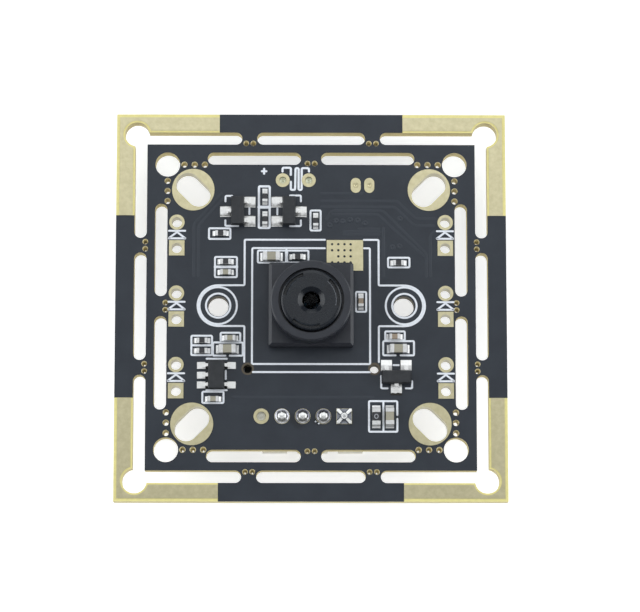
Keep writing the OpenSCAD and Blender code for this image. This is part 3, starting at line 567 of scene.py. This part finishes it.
# Moulded body within the half widths, tinned leads beyond them
def mouldedFinish(name, halfX=None, halfY=None, fluxAndShade=None, look=mouldLook):
    low, high = (Vector(c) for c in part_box(name))
    centre = (low + high) / 2
    f = Finish(name + "_finish", Specular_IOR_Level=look["shine"])
    place = f.axes(f.place)
    lead = 0.0
    for axis, half in enumerate((halfX, halfY)):
        if half:
            away = f.apart(place[axis], centre[axis])
            lead = f.maths("MAXIMUM", lead, f.maths("GREATER_THAN", away, (half + look["skin"]) * mm))
    tin = f.mottled(look["spots"], look["lead"], look["leadDull"], spotted)
    if fluxAndShade:
        axis, half = (0, halfX) if halfX else (1, halfY)
        # painted shade, with some flux, on the lands
        tin = f.mix(landShadeShare(f, place, low, centre, axis, half, fluxAndShade, look), tin, look["fluxAndShade"])
    f.colour(f.mix(lead, f.mottled(look["cloud"], look["black"], look["grey"]), tin))
    f.metallic(f.maths("MULTIPLY", lead, look["leadMetallic"]))
    f.roughness(f.spread(lead, 0, 1, look["bodyRoughness"], look["leadRoughness"]))
    f.bump(f.maths("MULTIPLY", f.noise(*look["sand"]), f.maths("SUBTRACT", 1.0, lead)), look["bump"])
    return f.material


holderLook = {
    "dark": (0.011, 0.013, 0.020), "pale": (0.016, 0.019, 0.027), "cloud": (0.9, 5, 0.6), "shine": 0.5,
    "sheen": (0.2, 3), "roughness": (0.32, 0.45), "grain": (0.12, 3, 0.6), "bump": 0.004,
}
barrelLook = {
    **holderLook, "dark": (0.003, 0.005, 0.009), "pale": (0.006, 0.009, 0.014), "shine": 0.42,
    "roughness": (0.23, 0.36), "grain": (0.08, 3, 0.6),
    "slotHighlight": {  # painted highlight: the key slots' inner walls are lightened, most on the right
        "r": 2.43, "half": 0.1, "above": 3.64, "below": 3.98, "colour": (0.07, 0.08, 0.095),
        "rightFrom": 1.2, "right": (0.20, 0.21, 0.23),
    },
}
spacerLook = {**barrelLook, "shine": 0.5, "roughness": (0.44, 0.57), "slotHighlight": None}


# The painted highlight's share: 1 in the band round the radius r and between the two heights
def slotHighlightBand(f, x, y, z, slotHighlight):
    beside = f.maths("LESS_THAN", f.apart(f.away(x, y, 0, 0), slotHighlight["r"] * mm), slotHighlight["half"] * mm)
    under = f.maths("MULTIPLY", beside, f.maths("LESS_THAN", z, slotHighlight["below"] * mm))
    return f.maths("MULTIPLY", under, f.maths("GREATER_THAN", z, slotHighlight["above"] * mm))


def blackFinish(name, look):
    f = Finish(name, Specular_IOR_Level=look["shine"])
    tone = f.mottled(look["cloud"], look["dark"], look["pale"])
    slotHighlight = look.get("slotHighlight")
    if slotHighlight:
        x, y, z = f.axes(f.place)
        # painted highlight, brightest on the right
        slotLight = f.mix(f.maths("GREATER_THAN", x, slotHighlight["rightFrom"] * mm), slotHighlight["colour"], slotHighlight["right"])
        tone = f.mix(slotHighlightBand(f, x, y, z, slotHighlight), tone, slotLight)
    f.colour(tone)
    f.sheen(look)
    f.grain(look)
    return f.material


# The low index stands for glass whose coating takes most of the reflection away
glassLook = {
    "lens": (0.25, 0.30, 0.35), "lensIndex": 1.15, "filter": (0.55, 0.80, 0.80), "filterIndex": 1.3,
    "cloud": (1.5, 2), "deeper": 0.94, "sheen": (0.8, 2), "roughness": (0.01, 0.03),
}


def glassFinish(name, kind, look=glassLook):
    f = Finish(name, Transmission_Weight=1.0, IOR=look[kind + "Index"])
    f.colour(f.mottled(look["cloud"], look[kind], shaded(look[kind], look["deeper"])))
    f.sheen(look)
    return f.material


sensorLook = {
    "index": 1.5, "active": 1.5, "rimNoise": (0.4, 3), "rim": ((0.10, 0.11, 0.10), (0.14, 0.15, 0.13)),
    "cellNoise": (1.2, 2), "cells": ((0.03, 0.05, 0.05), (0.06, 0.04, 0.07)), "roughness": (0.4, 0.12),
}


def sensorFinish(look=sensorLook):
    f = Finish("sensor", IOR=look["index"])
    x, y = f.axes(f.place)[:2]
    reach = f.maths("MAXIMUM", f.maths("ABSOLUTE", x), f.maths("ABSOLUTE", y))
    active = f.maths("LESS_THAN", reach, look["active"] * mm)
    f.colour(f.mix(active, f.mix(f.noise(*look["rimNoise"]), *look["rim"]),
                   f.mix(f.noise(*look["cellNoise"]), *look["cells"])))
    f.roughness(f.spread(active, 0, 1, *look["roughness"]))
    return f.material


housingLook = {
    "colour": (0.80, 0.77, 0.66), "duller": 0.93, "cloud": (2.0, 4), "translucence": 0.05,
    "sheen": (0.3, 3), "roughness": (0.37, 0.50), "grain": (0.12, 3), "bump": 0.006,
}


def plasticFinish(name, look):
    f = Finish(name, Subsurface_Weight=look["translucence"])
    f.colour(f.mottled(look["cloud"], look["colour"], shaded(look["colour"], look["duller"])))
    f.sheen(look)
    f.grain(look)
    return f.material


pinLook = {
    "colour": (0.78, 0.76, 0.70), "duller": 0.85, "cloud": (0.5, 4),
    "sheen": (0.15, 3), "roughness": (0.17, 0.30), "grain": (0.1, 3), "bump": 0.003,
}
caseLook = {**pinLook, "colour": (0.70, 0.68, 0.63), "roughness": (0.23, 0.36)}


def metalFinish(name, look):
    f = Finish(name, Metallic=1.0)
    f.colour(f.mottled(look["cloud"], look["colour"], shaded(look["colour"], look["duller"])))
    f.sheen(look)
    f.grain(look)
    return f.material


dress(boardFinish(), "circuit_board")
plating = platingFinish()
dress(plating, *numbered("corner_copper", 4), *numbered("slot_ring", 4), "ground_pad", "lamp_pads",
      "microphone_pads", "spare_pads", "header_pads")
for name, settings in solderJoints.items():
    dress(solderFinish(name, **settings), name)
for name in numbered("resistor", 10) + numbered("capacitor", 9) + numbered("rear_capacitor", 4):
    dress(chipFinish(name), name)
for name, settings in mouldedParts.items():
    dress(mouldedFinish(name, **settings), name)
dress(blackFinish("holder", holderLook), "lens_holder")
dress(blackFinish("barrel", barrelLook), "lens_barrel")
dress(blackFinish("spacer", spacerLook), "lens_spacer")
dress(glassFinish("lens_glass", "lens"), "front_lens", "rear_lens")
dress(glassFinish("filter_glass", "filter"), "infrared_filter")
dress(sensorFinish(), "image_sensor")
dress(plasticFinish("housing", housingLook), "header_housing")
dress(metalFinish("pins", pinLook), *numbered("header_pin", 4))
dress(metalFinish("crystal_case", caseLook), "crystal")
print("finishes on", len(nodes), "solids")


sunk = 0.004         # print and raised copper start this far below the face, in millimetres
nearAxis = 0.01      # a turned form's section starts and ends this far from its axis

printLook = {
    "ink": (0.80, 0.83, 0.88),
    "inkThin": (0.68, 0.71, 0.76),
    "patch": (0.25, 4, 0.7),
    "patchStretch": (0.35, 0.75),
    "sheen": (0.2, 3), "roughness": (0.5, 0.65), "grain": (0.08, 3), "bump": 0.006,
    "line": 0.2,
    "height": 0.02,
    "step": 0.001,
    "steps": 7,
    "shapes": {  # outer edges of the outlines round the parts: left, lower, right, upper
        "resistor_5": (-10.04, 6.52, -7.76, 7.77),
        "resistor_6": (-9.44, 2.75, -7.11, 4.94),
        "resistor_7": (-11.68, -4.90, -9.49, -2.81),
        "capacitor_3": (-8.85, -3.56, -6.76, -2.51),
        "capacitor_4": (-10.59, -9.56, -8.35, -8.27),
        "capacitor_5": (7.09, -3.41, 9.18, -2.36),
        "resistor_9": (7.39, 3.74, 9.67, 4.89),
        "capacitor_1": (4.26, -0.63, 5.45, 1.51),
        "resistor_1": (-5.27, 4.19, -0.16, 5.58),
        "resistor_4": (-0.16, 7.37, 1.03, 9.55),
    },
    "openShapes": [  # outlines with a gap, drawn from one end of the gap to the other
        [(-8.3, -4.85), (-9.49, -4.85), (-9.49, -3.56), (-6.61, -3.56), (-6.61, -4.85), (-7.86, -4.85)],
        [(8.18, -4.8), (6.99, -4.8), (6.99, -3.41), (9.97, -3.41), (9.97, -4.8), (8.68, -4.8)],
        [(8.33, -10.6), (8.33, -9.27), (5.6, -9.27), (5.6, -12.24), (8.33, -12.24), (8.33, -11.0)],
    ],
    "pair": (-5.09, 7.72, -4.04, 11.84),  # the middle of the line round two resistors, and its width
    "pairLine": 0.23,
    "dividers": [  # lines across an outline that holds two parts: from x, y to x, y, and the width
        (-9.34, 3.86, -7.21, 3.86, 0.27), (-11.58, -3.85, -9.59, -3.85, 0.22),
        (-2.39, 4.29, -2.39, 5.48, 0.31), (-5.09, 9.78, -4.04, 9.78, 0.31),
        (6.99, -12.24, 6.99, -9.27, 0.2),
    ],
    "brackets": [  # at the corners of the transistors and the regulator
        [(-8.35, 10.35), (-8.35, 10.89), (-7.71, 10.89)], [(-8.35, 8.46), (-8.35, 7.91), (-7.11, 7.91)],
        [(-6.02, 9.7), (-6.02, 9.1)],
        [(-2.05, 10.94), (-1.0, 10.94), (-1.0, 10.35)], [(-2.05, 7.91), (-1.0, 7.91), (-1.0, 8.46)],
        [(-3.29, 9.7), (-3.29, 9.06)],
        [(7.98, -5.76), (8.48, -5.76)], [(6.79, -6.83), (6.79, -8.02), (7.39, -8.02)],
        [(9.18, -8.02), (9.77, -8.02), (9.77, -7.33)],
        [(-10.09, -5.16), (-8.15, -5.16)], [(-10.09, -8.22), (-8.15, -8.22)],
        [(-8.25, -6.34), (-8.25, -7.13)],
    ],
}


def inkFinish(name, thick, thin, look=printLook):
    f = Finish(name)
    f.colour(f.mottled(look["patch"], thick, thin, look["patchStretch"]))
    f.sheen(look)
    f.grain(look)
    return f.material


ink = inkFinish("print", printLook["ink"], printLook["inkThin"])

# One line is a hair lower than the last, so that lines that cross share no plane
inkHeights = cycle(printLook["height"] - printLook["step"] * np.arange(printLook["steps"]))


def inkLine(corners, closed=False, width=printLook["line"], bend=0.12):
    return ribbon(corners, width, -sunk, next(inkHeights), closed, bend)


# The print round the lens: two half paths with round peg targets, and a square just inside them
lensPrint = {
    "top": 6.55, "left": -6.46, "right": 6.57, "bottom": -5.44,
    "pegs": (-9.01, 9.06), "pegY": 0.05, "neck": 2.0, "rings": (1.82, 1.19), "bowPoints": 19,
    "openFrom": 1.33, "openTo": 5.15,
    "square": 5.72, "squareLow": -5.66, "doubleLow": -6.45, "doubleFrom": -5.62, "doubleTo": 5.7,
}


def lensOutlines(look=lensPrint):
    top, y, neck, low = look["top"], look["pegY"], look["neck"], look["bottom"]
    paths = []
    for start, x, pegX, lastAngle in ((look["openFrom"], look["left"], look["pegs"][0], 270),
                                      (look["openTo"], look["right"], look["pegs"][1], -90)):
        bow = arc(pegX, y, neck, 90, lastAngle, look["bowPoints"])
        paths.append(np.vstack([[(start, top), (x, top), (x, y + neck)], bow, [(x, y - neck), (x, low)]]))
    return paths


def lensPrintLines(look=lensPrint):
    lines = [inkLine(path) for path in lensOutlines()]
    lines += [inkLine(ring(pegX, look["pegY"], r), True) for pegX in look["pegs"] for r in look["rings"]]
    side, low = look["square"], look["squareLow"]
    lines.append(inkLine([(look["openFrom"], side), (-side, side), (-side, low), (side, low), (side, side),
                          (look["openTo"], side)]))
    lines.append(inkLine([(look[end], look["doubleLow"]) for end in ("doubleFrom", "doubleTo")]))
    return lines


def partOutlines(look=printLook):
    half = look["line"] / 2
    lines = [inkLine(rectangle(x0 + half, y0 + half, x1 - half, y1 - half), True)
             for x0, y0, x1, y1 in look["shapes"].values()]
    lines += [inkLine(path) for path in look["openShapes"]]
    lines.append(inkLine(rectangle(*look["pair"]), True, look["pairLine"]))
    lines += [inkLine([(x0, y0), (x1, y1)], width=width) for x0, y0, x1, y1, width in look["dividers"]]
    lines += [inkLine(path) for path in look["brackets"]]
    return lines


# The diode sign between a lamp's two pads: a bar above a triangle's outline
lampSign = {"x": 13.05, "rows": (7, 0, -7), "bar": 0.42, "apex": 0.3, "base": -0.33, "barHalf": 0.78,
            "baseHalf": 0.82, "rightEdge": 13.86, "bend": 0.05}


def lampSigns(look=lampSign):
    lines = []
    for x, row in [(side * look["x"], row) for side in (-1, 1) for row in look["rows"]]:
        barRight, baseRight = (min(x + look[half], look["rightEdge"]) for half in ("barHalf", "baseHalf"))
        barY, baseY = row + look["bar"], row + look["base"]
        lines.append(inkLine([(x - look["barHalf"], barY), (barRight, barY)]))
        lines.append(inkLine([(x, row + look["apex"]), (baseRight, baseY), (x - look["baseHalf"], baseY)],
                             True, bend=look["bend"]))
    return lines


# The sign between the microphone's pads: two narrow loops hung from a bracket on each side
microphoneSign = {
    "line": 0.22, "bend": 0.14,
    "paths": [
        [(-2.79, 13.33), (-2.79, 13.7), (-1.98, 13.7), (-1.98, 13.0)],
        [(-1.98, 12.3), (-1.98, 11.5), (-1.56, 11.5), (-1.52, 13.66), (-1.22, 13.66), (-1.22, 11.5),
         (-0.92, 11.5), (-0.92, 13.66), (-0.21, 13.66), (-0.21, 13.33)],
    ],
}
plusSign = {"x": -4.59, "y": 13.35, "w": 0.42, "h": 0.47, "line": 0.22}


def soundLines(look=microphoneSign, plus=plusSign):
    lines = [inkLine(path, width=look["line"], bend=look["bend"]) for path in look["paths"]]
    x, y, halfW, halfH = plus["x"], plus["y"], plus["w"] / 2, plus["h"] / 2
    lines.append(inkLine([(x - halfW, y), (x + halfW, y)], width=plus["line"]))
    lines.append(inkLine([(x, y - halfH), (x, y + halfH)], width=plus["line"]))
    return lines


newPiece("front_print", lensPrintLines() + partOutlines() + lampSigns() + soundLines(), ink)

# Outlines printed on the rear face round what stands there, with some room round each part
rearPrint = {
    "line": 0.18, "low": -1.596, "high": -1.618,
    "boxed": ["header_housing", "crystal"] + numbered("rear_capacitor", 4), "room": 0.25,
    "controllerRoom": 0.1, "tick": 1.1,
    "memoryRoom": 0.05, "memoryInset": 1.2, "memoryGap": 0.2,
    "dots": {"usb_controller": (0.55, -0.55), "flash_memory": (0.3, 0.2)},  # from the upper left corner
    "dotR": 0.22, "dotTop": 0.9,
}


def rearLine(corners, closed=False, look=rearPrint):
    return ribbon(corners, look["line"], look["low"], look["high"], closed)


def roomyBox(name, room=0.0):
    low, high = (np.array(c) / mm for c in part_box(name))
    return low[0] - room, low[1] - room, high[0] + room, high[1] + room


def rearPrintLines(look=rearPrint):
    tick, inset, gap = look["tick"], look["memoryInset"], look["memoryGap"]
    lines = [rearLine(rectangle(*roomyBox(name, look["room"])), True) for name in look["boxed"]]
    x0, y0, x1, y1 = roomyBox("usb_controller", look["controllerRoom"])
    for x, y, sx, sy in ((x0, y0, 1, 1), (x1, y0, -1, 1), (x1, y1, -1, -1), (x0, y1, 1, -1)):
        lines.append(rearLine([(x + sx * tick, y), (x, y), (x, y + sy * tick)]))
    x0, y0, x1, y1 = roomyBox("flash_memory", look["memoryRoom"])
    lines += [rearLine([(x0 + inset, y), (x1 - inset, y)]) for y in (y0 - gap, y1 + gap)]
    return lines


def rearDots(look=rearPrint):
    low, high, r = look["low"], look["high"], look["dotR"]
    section = [(nearAxis, low), (r, low), (look["dotTop"] * r, high), (nearAxis, high)]
    corners = {name: roomyBox(name) for name in look["dots"]}
    return [turned(corners[name][0] + dx, corners[name][3] + dy, section)
            for name, (dx, dy) in look["dots"].items()]


newPiece("rear_print", rearPrintLines() + rearDots(), ink)

# The mark of a zero-ohm link on the large resistor's top
zeroMark = {"w": 0.35, "h": 0.40, "line": 0.085, "high": 0.008, "points": 20, "ink": (0.36, 0.37, 0.40),
            "thin": (0.28, 0.29, 0.31)}


# A ribbon along an ellipse: x + w/2 cos a, y + h/2 sin a
def zeroLine(look=zeroMark):
    low, high = (np.array(c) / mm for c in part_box("resistor_10"))
    x, y = (low + high)[:2] / 2
    a = np.linspace(0, 2 * np.pi, look["points"], endpoint=False)
    path = np.stack([x + look["w"] / 2 * np.cos(a), y + look["h"] / 2 * np.sin(a)], axis=1)
    return ribbon(path, look["line"], high[2] - sunk, high[2] + look["high"], True)


newPiece("link_mark", [zeroLine()], inkFinish("chip_print", zeroMark["ink"], zeroMark["thin"]))
print("printed marks done")


traceLook = {"line": 0.3, "bend": 0.3, "shoulder": 0.7, "front": (-sunk, 0.012), "rear": (-1.596, -1.612)}
frontTraces = [
    [(1.0, 11.15), (5.0, 11.15)],
    [(1.0, 10.4), (8.4, 10.4), (10.2, 8.65), (12.1, 8.65)],
    [(1.0, 9.81), (8.15, 9.81), (10.1, 7.95), (11.95, 7.95)],
    [(1.5, 8.56), (2.0, 9.44), (7.0, 9.44), (11.2, 5.2), (11.2, 3.0)],
    [(2.0, 9.07), (6.57, 9.07), (7.4, 8.2), (11.0, 4.94)],
    [(4.7, 7.63), (6.6, 7.63)], [(3.2, 7.35), (6.7, 7.35)], [(3.2, 7.07), (6.6, 7.07)],
    [(7.05, 7.7), (7.05, 3.0)], [(12.05, 7.44), (11.6, 7.0), (11.6, 3.0)],
    [(-8.4, 10.85), (-10.95, 7.95), (-10.95, 3.0)], [(-8.75, 11.15), (-11.4, 8.1), (-11.4, 3.0)],
    [(-7.5, -8.9), (6.0, -8.9)],
]
# From the controller to the memory, the crystal and the header
rearTraces = [
    [(1.7, -1.6), (2.6, -0.7), (2.6, 1.2), (3.0, 1.6)], [(1.7, -2.1), (3.1, -0.7), (3.1, 0.7), (4.2, 1.8)],
    [(-3.6, 1.1), (-3.6, 1.6)], [(-4.1, 1.1), (-4.6, 1.6)], [(-0.8, -8.5), (-0.8, -9.0)],
    [(-8.0, -4.1), (-10.4, -4.1), (-11.2, -3.3), (-11.2, 4.0)], [(1.7, -4.6), (3.4, -4.6)],
    [(-8.0, -4.6), (-10.7, -4.6), (-11.7, -3.6), (-11.7, 3.4)], [(1.7, -2.6), (3.4, -2.6)],
    [(9.2, 2.2), (10.6, 2.2), (11.6, 1.2), (11.6, -4.6), (8.0, -8.2)],
    [(9.2, 6.0), (10.8, 6.0), (11.7, 6.9)],
]


def traces(paths, side, look=traceLook):
    low, high = look[side]
    return [ribbon(path, look["line"], low, high, bend=look["bend"], shoulder=look["shoulder"])
            for path in paths]


newPiece("front_traces", traces(frontTraces, "front"), maskFinish("raised_mask"))

# A filled via: a low round hump with a dimple in its middle
viaPlaces = [(2.44, 8.42), (3.09, 8.37), (3.79, 8.51), (4.53, 8.46), (5.27, 8.19), (1.79, 8.0), (8.66, 8.65),
             (7.92, 5.82), (8.61, 5.91)]
viaSection = [(nearAxis, -sunk), (0.3, -sunk), (0.27, 0.012), (0.16, 0.016), (nearAxis, 0.004)]
newPiece("filled_vias", [turned(x, y, viaSection) for x, y in viaPlaces], maskFinish("via_mask"),
         smooth=True)
newPiece("rear_traces", traces(rearTraces, "rear"), maskFinish("rear_raised_mask"))

# Pale linings that narrow the perforations, so that less of the bright floor shows through them: painted
# shade for the dim holes
liningLook = {
    "colour": (0.88, 0.80, 0.54), "dark": (0.68, 0.60, 0.38), "patch": (0.4, 4, 0.6),
    "sheen": (0.1, 3), "roughness": (0.6, 0.8),
    "top": -0.03, "low": -1.57, "skin": 0.012, "steps": 5, "points": 20,
    "tabR": 0.272, "tabOpen": 0.07, "tabX": 6.0, "tabY": 16.135, "coreTabY": 14.135, "tabHalf": 0.35,
    "cornerR": 0.302, "cornerOpen": 0.19, "lowOpen": 0.08, "cornerX": (10.38, 11.38, 12.38),
    "cornerY": 14.0,
}


def liningFinish(look=liningLook):
    f = Finish("lining")
    f.colour(f.mottled(look["patch"], look["colour"], look["dark"], crisp))
    f.sheen(look)
    return f.material


# A cone whose radius falls from inner at the top to the opening near the rear face:
# inner - (inner - opening) t, with t from 0 to 1 down the wall. Its outside is the hole's cylinder
def lining(x, y, r, opening, look=liningLook):
    t = np.linspace(0, 1, look["steps"])
    top, low, inner = look["top"], look["low"], r - look["skin"]
    inside = np.stack([inner - (inner - opening) * t, top + (low - top) * t], axis=1)
    return turned(x, y, np.vstack([inside, [(r, low), (r, top)]]), look["points"])


# One side's perforations, turned by a quarter to each side. The lowest row's corners are nearly closed, as
# more painted shade
def perforationLinings(look=liningLook):
    rows = [(-look["tabX"], look["tabY"]), (look["tabX"], look["tabY"]), (0, look["coreTabY"])]
    tabs = [(x + end * look["tabHalf"], y) for x, y in rows for end in (-1, 1)]
    corners = [(side * x, look["cornerY"]) for side in (-1, 1) for x in look["cornerX"]]
    made = []
    for a in np.radians((0, 90, 180, 270)):
        turn = np.array([[np.cos(a), -np.sin(a)], [np.sin(a), np.cos(a)]])
        made += [lining(*turn @ place, look["tabR"], look["tabOpen"]) for place in tabs]
        opening = look["lowOpen"] if a == np.pi else look["cornerOpen"]
        made += [lining(*turn @ place, look["cornerR"], opening) for place in corners]
    return made


newPiece("perforation_linings", perforationLinings(), liningFinish(), smooth=True)

# Two specks of solder that spat from the third joint
speckLook = {"places": ((0.44, -11.26), (0.76, -11.45)), "points": 12,
             "section": [(0.005, -0.003), (0.09, -0.003), (0.072, 0.042), (0.005, 0.07)]}
newPiece("solder_specks", [turned(x, y, speckLook["section"], speckLook["points"])
                           for x, y in speckLook["places"]], ink, smooth=True)

# A grey film that closes the header's empty hole: a shallow dish with a small hump. It is painted shade for
# the shadowed floor seen through the hole
filmLook = {
    "places": [(-4.8, -10.75)],
    "section": [(nearAxis, -0.3), (0.448, -0.3), (0.448, -0.06), (0.34, -0.13), (0.2, -0.15), (0.1, -0.11),
                (nearAxis, -0.1)],
    "colour": (0.40, 0.39, 0.32), "pale": (0.52, 0.51, 0.45), "patch": (0.25, 4), "metallic": 0.3,
    "sheen": (0.2, 3), "roughness": (0.35, 0.55), "grain": (0.3, 3), "bump": 0.02,
}
# A pale greenish film that closes the microphone's two holes: painted shade, tinted like light from the gold
# walls
micShadeFilmLook = {
    **filmLook,
    "places": [(-2.77, 12.46), (-0.23, 12.46)],
    "section": [(nearAxis, -0.5), (0.348, -0.5), (0.348, -0.14), (0.2, -0.24), (nearAxis, -0.27)],
    "colour": (0.66, 0.68, 0.50), "pale": (0.80, 0.82, 0.66),
}
# Tin that closes the two spare holes, slightly hollow
spareFilm = {
    "places": [(4.36, 11.95), (5.68, 11.95)],
    "section": [(nearAxis, -0.3), (0.248, -0.3), (0.248, 0.03), (0.15, 0.0), (nearAxis, -0.02)],
}


def filmFinish(name, look):
    f = Finish(name, Metallic=look["metallic"])
    f.colour(f.mottled(look["patch"], look["colour"], look["pale"], crisp))
    f.sheen(look)
    f.grain(look)
    return f.material


def closeHoles(name, look, material):
    newPiece(name, [turned(x, y, look["section"]) for x, y in look["places"]], material, smooth=True)


closeHoles("hole_film", filmLook, filmFinish("hole_film", filmLook))
closeHoles("spare_film", spareFilm, plating)
closeHoles("microphone_film", micShadeFilmLook, filmFinish("microphone_painted_shade", micShadeFilmLook))
print("raised copper, linings and films done")


# The camera's place and aim are in millimetres
cameraLook = {"place": (-1.919, -45.303, 286.95), "aim": (0.869, 0.025, 0), "lens": 168.4, "sensor": 36}


def addCamera(look=cameraLook):
    data = bpy.data.cameras.new("view")
    data.lens, data.sensor_width, data.sensor_fit = look["lens"], look["sensor"], "HORIZONTAL"
    place, aim = Vector(look["place"]) * mm, Vector(look["aim"]) * mm
    ahead = (aim - place).normalized()
    right = ahead.cross(Vector((0, 1, 0))).normalized()
    up = right.cross(ahead)
    turn = Matrix((right, up, -ahead)).transposed().to_4x4()
    camera = bpy.data.objects.new("view", data)
    camera.matrix_world = Matrix.Translation(place) @ turn
    bpy.context.collection.objects.link(camera)
    bpy.context.scene.camera = camera


# A wide floor that glows, so that it is as white as the photo's ground
floorLook = {
    "side": 3.0,             # in metres, all other lengths in millimetres
    "below": 0.01,           # this far under the lowest solid
    "pale": (0.9, 0.9, 0.9),
    "roughness": 0.9,
    "glow": 0.51,
    "shade": 0.27,           # painted shadow, taken from the glow below the board's upper half
    "upwards": (-6, 16),     # the painted shadow grows from here to here, and fades out past the board's edges
    "across": (24, 16),
    "beyond": (36, 20),
    "paintedMiddleGlow": 0.58,      # painted light: a stronger glow under the board's middle
    "middle": (9, 15.5),
    "middleY": 1.2,
}


def floorFinish(look=floorLook):
    f = Finish("floor", Base_Color=look["pale"], Roughness=look["roughness"], Emission_Color=(1, 1, 1))
    x, y = f.axes(f.place)[:2]
    absX = f.maths("ABSOLUTE", x)
    # painted shadow under the board's upper half and painted light under its middle
    shares = [f.spread(value, *(v * mm for v in look[key]))
              for value, key in ((absX, "across"), (y, "upwards"), (y, "beyond"))]
    shade = f.maths("MULTIPLY", f.maths("MULTIPLY", shares[0], shares[1]), shares[2])
    glow = f.maths("SUBTRACT", look["glow"], f.maths("MULTIPLY", shade, look["shade"]))
    far = f.maths("MAXIMUM", absX, f.apart(y, look["middleY"] * mm))
    start, end = look["middle"]
    f.feed(f.shader.inputs["Emission Strength"],
           f.spread(far, start * mm, end * mm, look["paintedMiddleGlow"], glow))
    return f.material


def addFloor(look=floorLook):
    low, half = cadBounds[0][2] - look["below"] * mm, look["side"] / 2
    mesh = bpy.data.meshes.new("floor")
    mesh.from_pydata([(x, y, low) for x, y in rectangle(-half, -half, half, half)], [], [(0, 1, 2, 3)])
    mesh.materials.append(floorFinish())
    floor = bpy.data.objects.new("floor", mesh)
    bpy.context.collection.objects.link(floor)


lightLook = {
    "colour": (0.95, 0.98, 1.0),
    "softboxes": {  # place in metres, aimed at the origin, the side in metres and the power in watts
        "top": ((0.0, 0.35, 0.56), 0.64, 1.72),
        "front": ((0.0, -0.33, 0.52), 0.50, 0.6),
        "left": ((-0.50, 0.06, 0.20), 0.60, 2.8),
        "right": ((0.50, 0.06, 0.20), 0.60, 3.0),
        "back": ((0.0, 0.60, 0.13), 0.40, 0.6),
    },
    "room": (0.95, 0.97, 1.0, 1),
    "roomStrength": 0.14,
}


def addLights(look=lightLook):
    for name, (place, size, power) in look["softboxes"].items():
        data = bpy.data.lights.new(name, "AREA")
        data.shape, data.size, data.energy, data.color = "SQUARE", size, power, look["colour"]
        light = bpy.data.objects.new(name, data)
        light.location = place
        light.rotation_euler = (-Vector(place)).to_track_quat("-Z", "Y").to_euler()
        bpy.context.collection.objects.link(light)
    world = bpy.data.worlds.new("room")
    world.use_nodes = True
    background = world.node_tree.nodes["Background"]
    background.inputs["Color"].default_value = look["room"]
    background.inputs["Strength"].default_value = look["roomStrength"]
    bpy.context.scene.world = world
    bpy.context.scene.view_settings.view_transform = "Standard"


addCamera()
addFloor()
addLights()
print("camera, floor and light done")
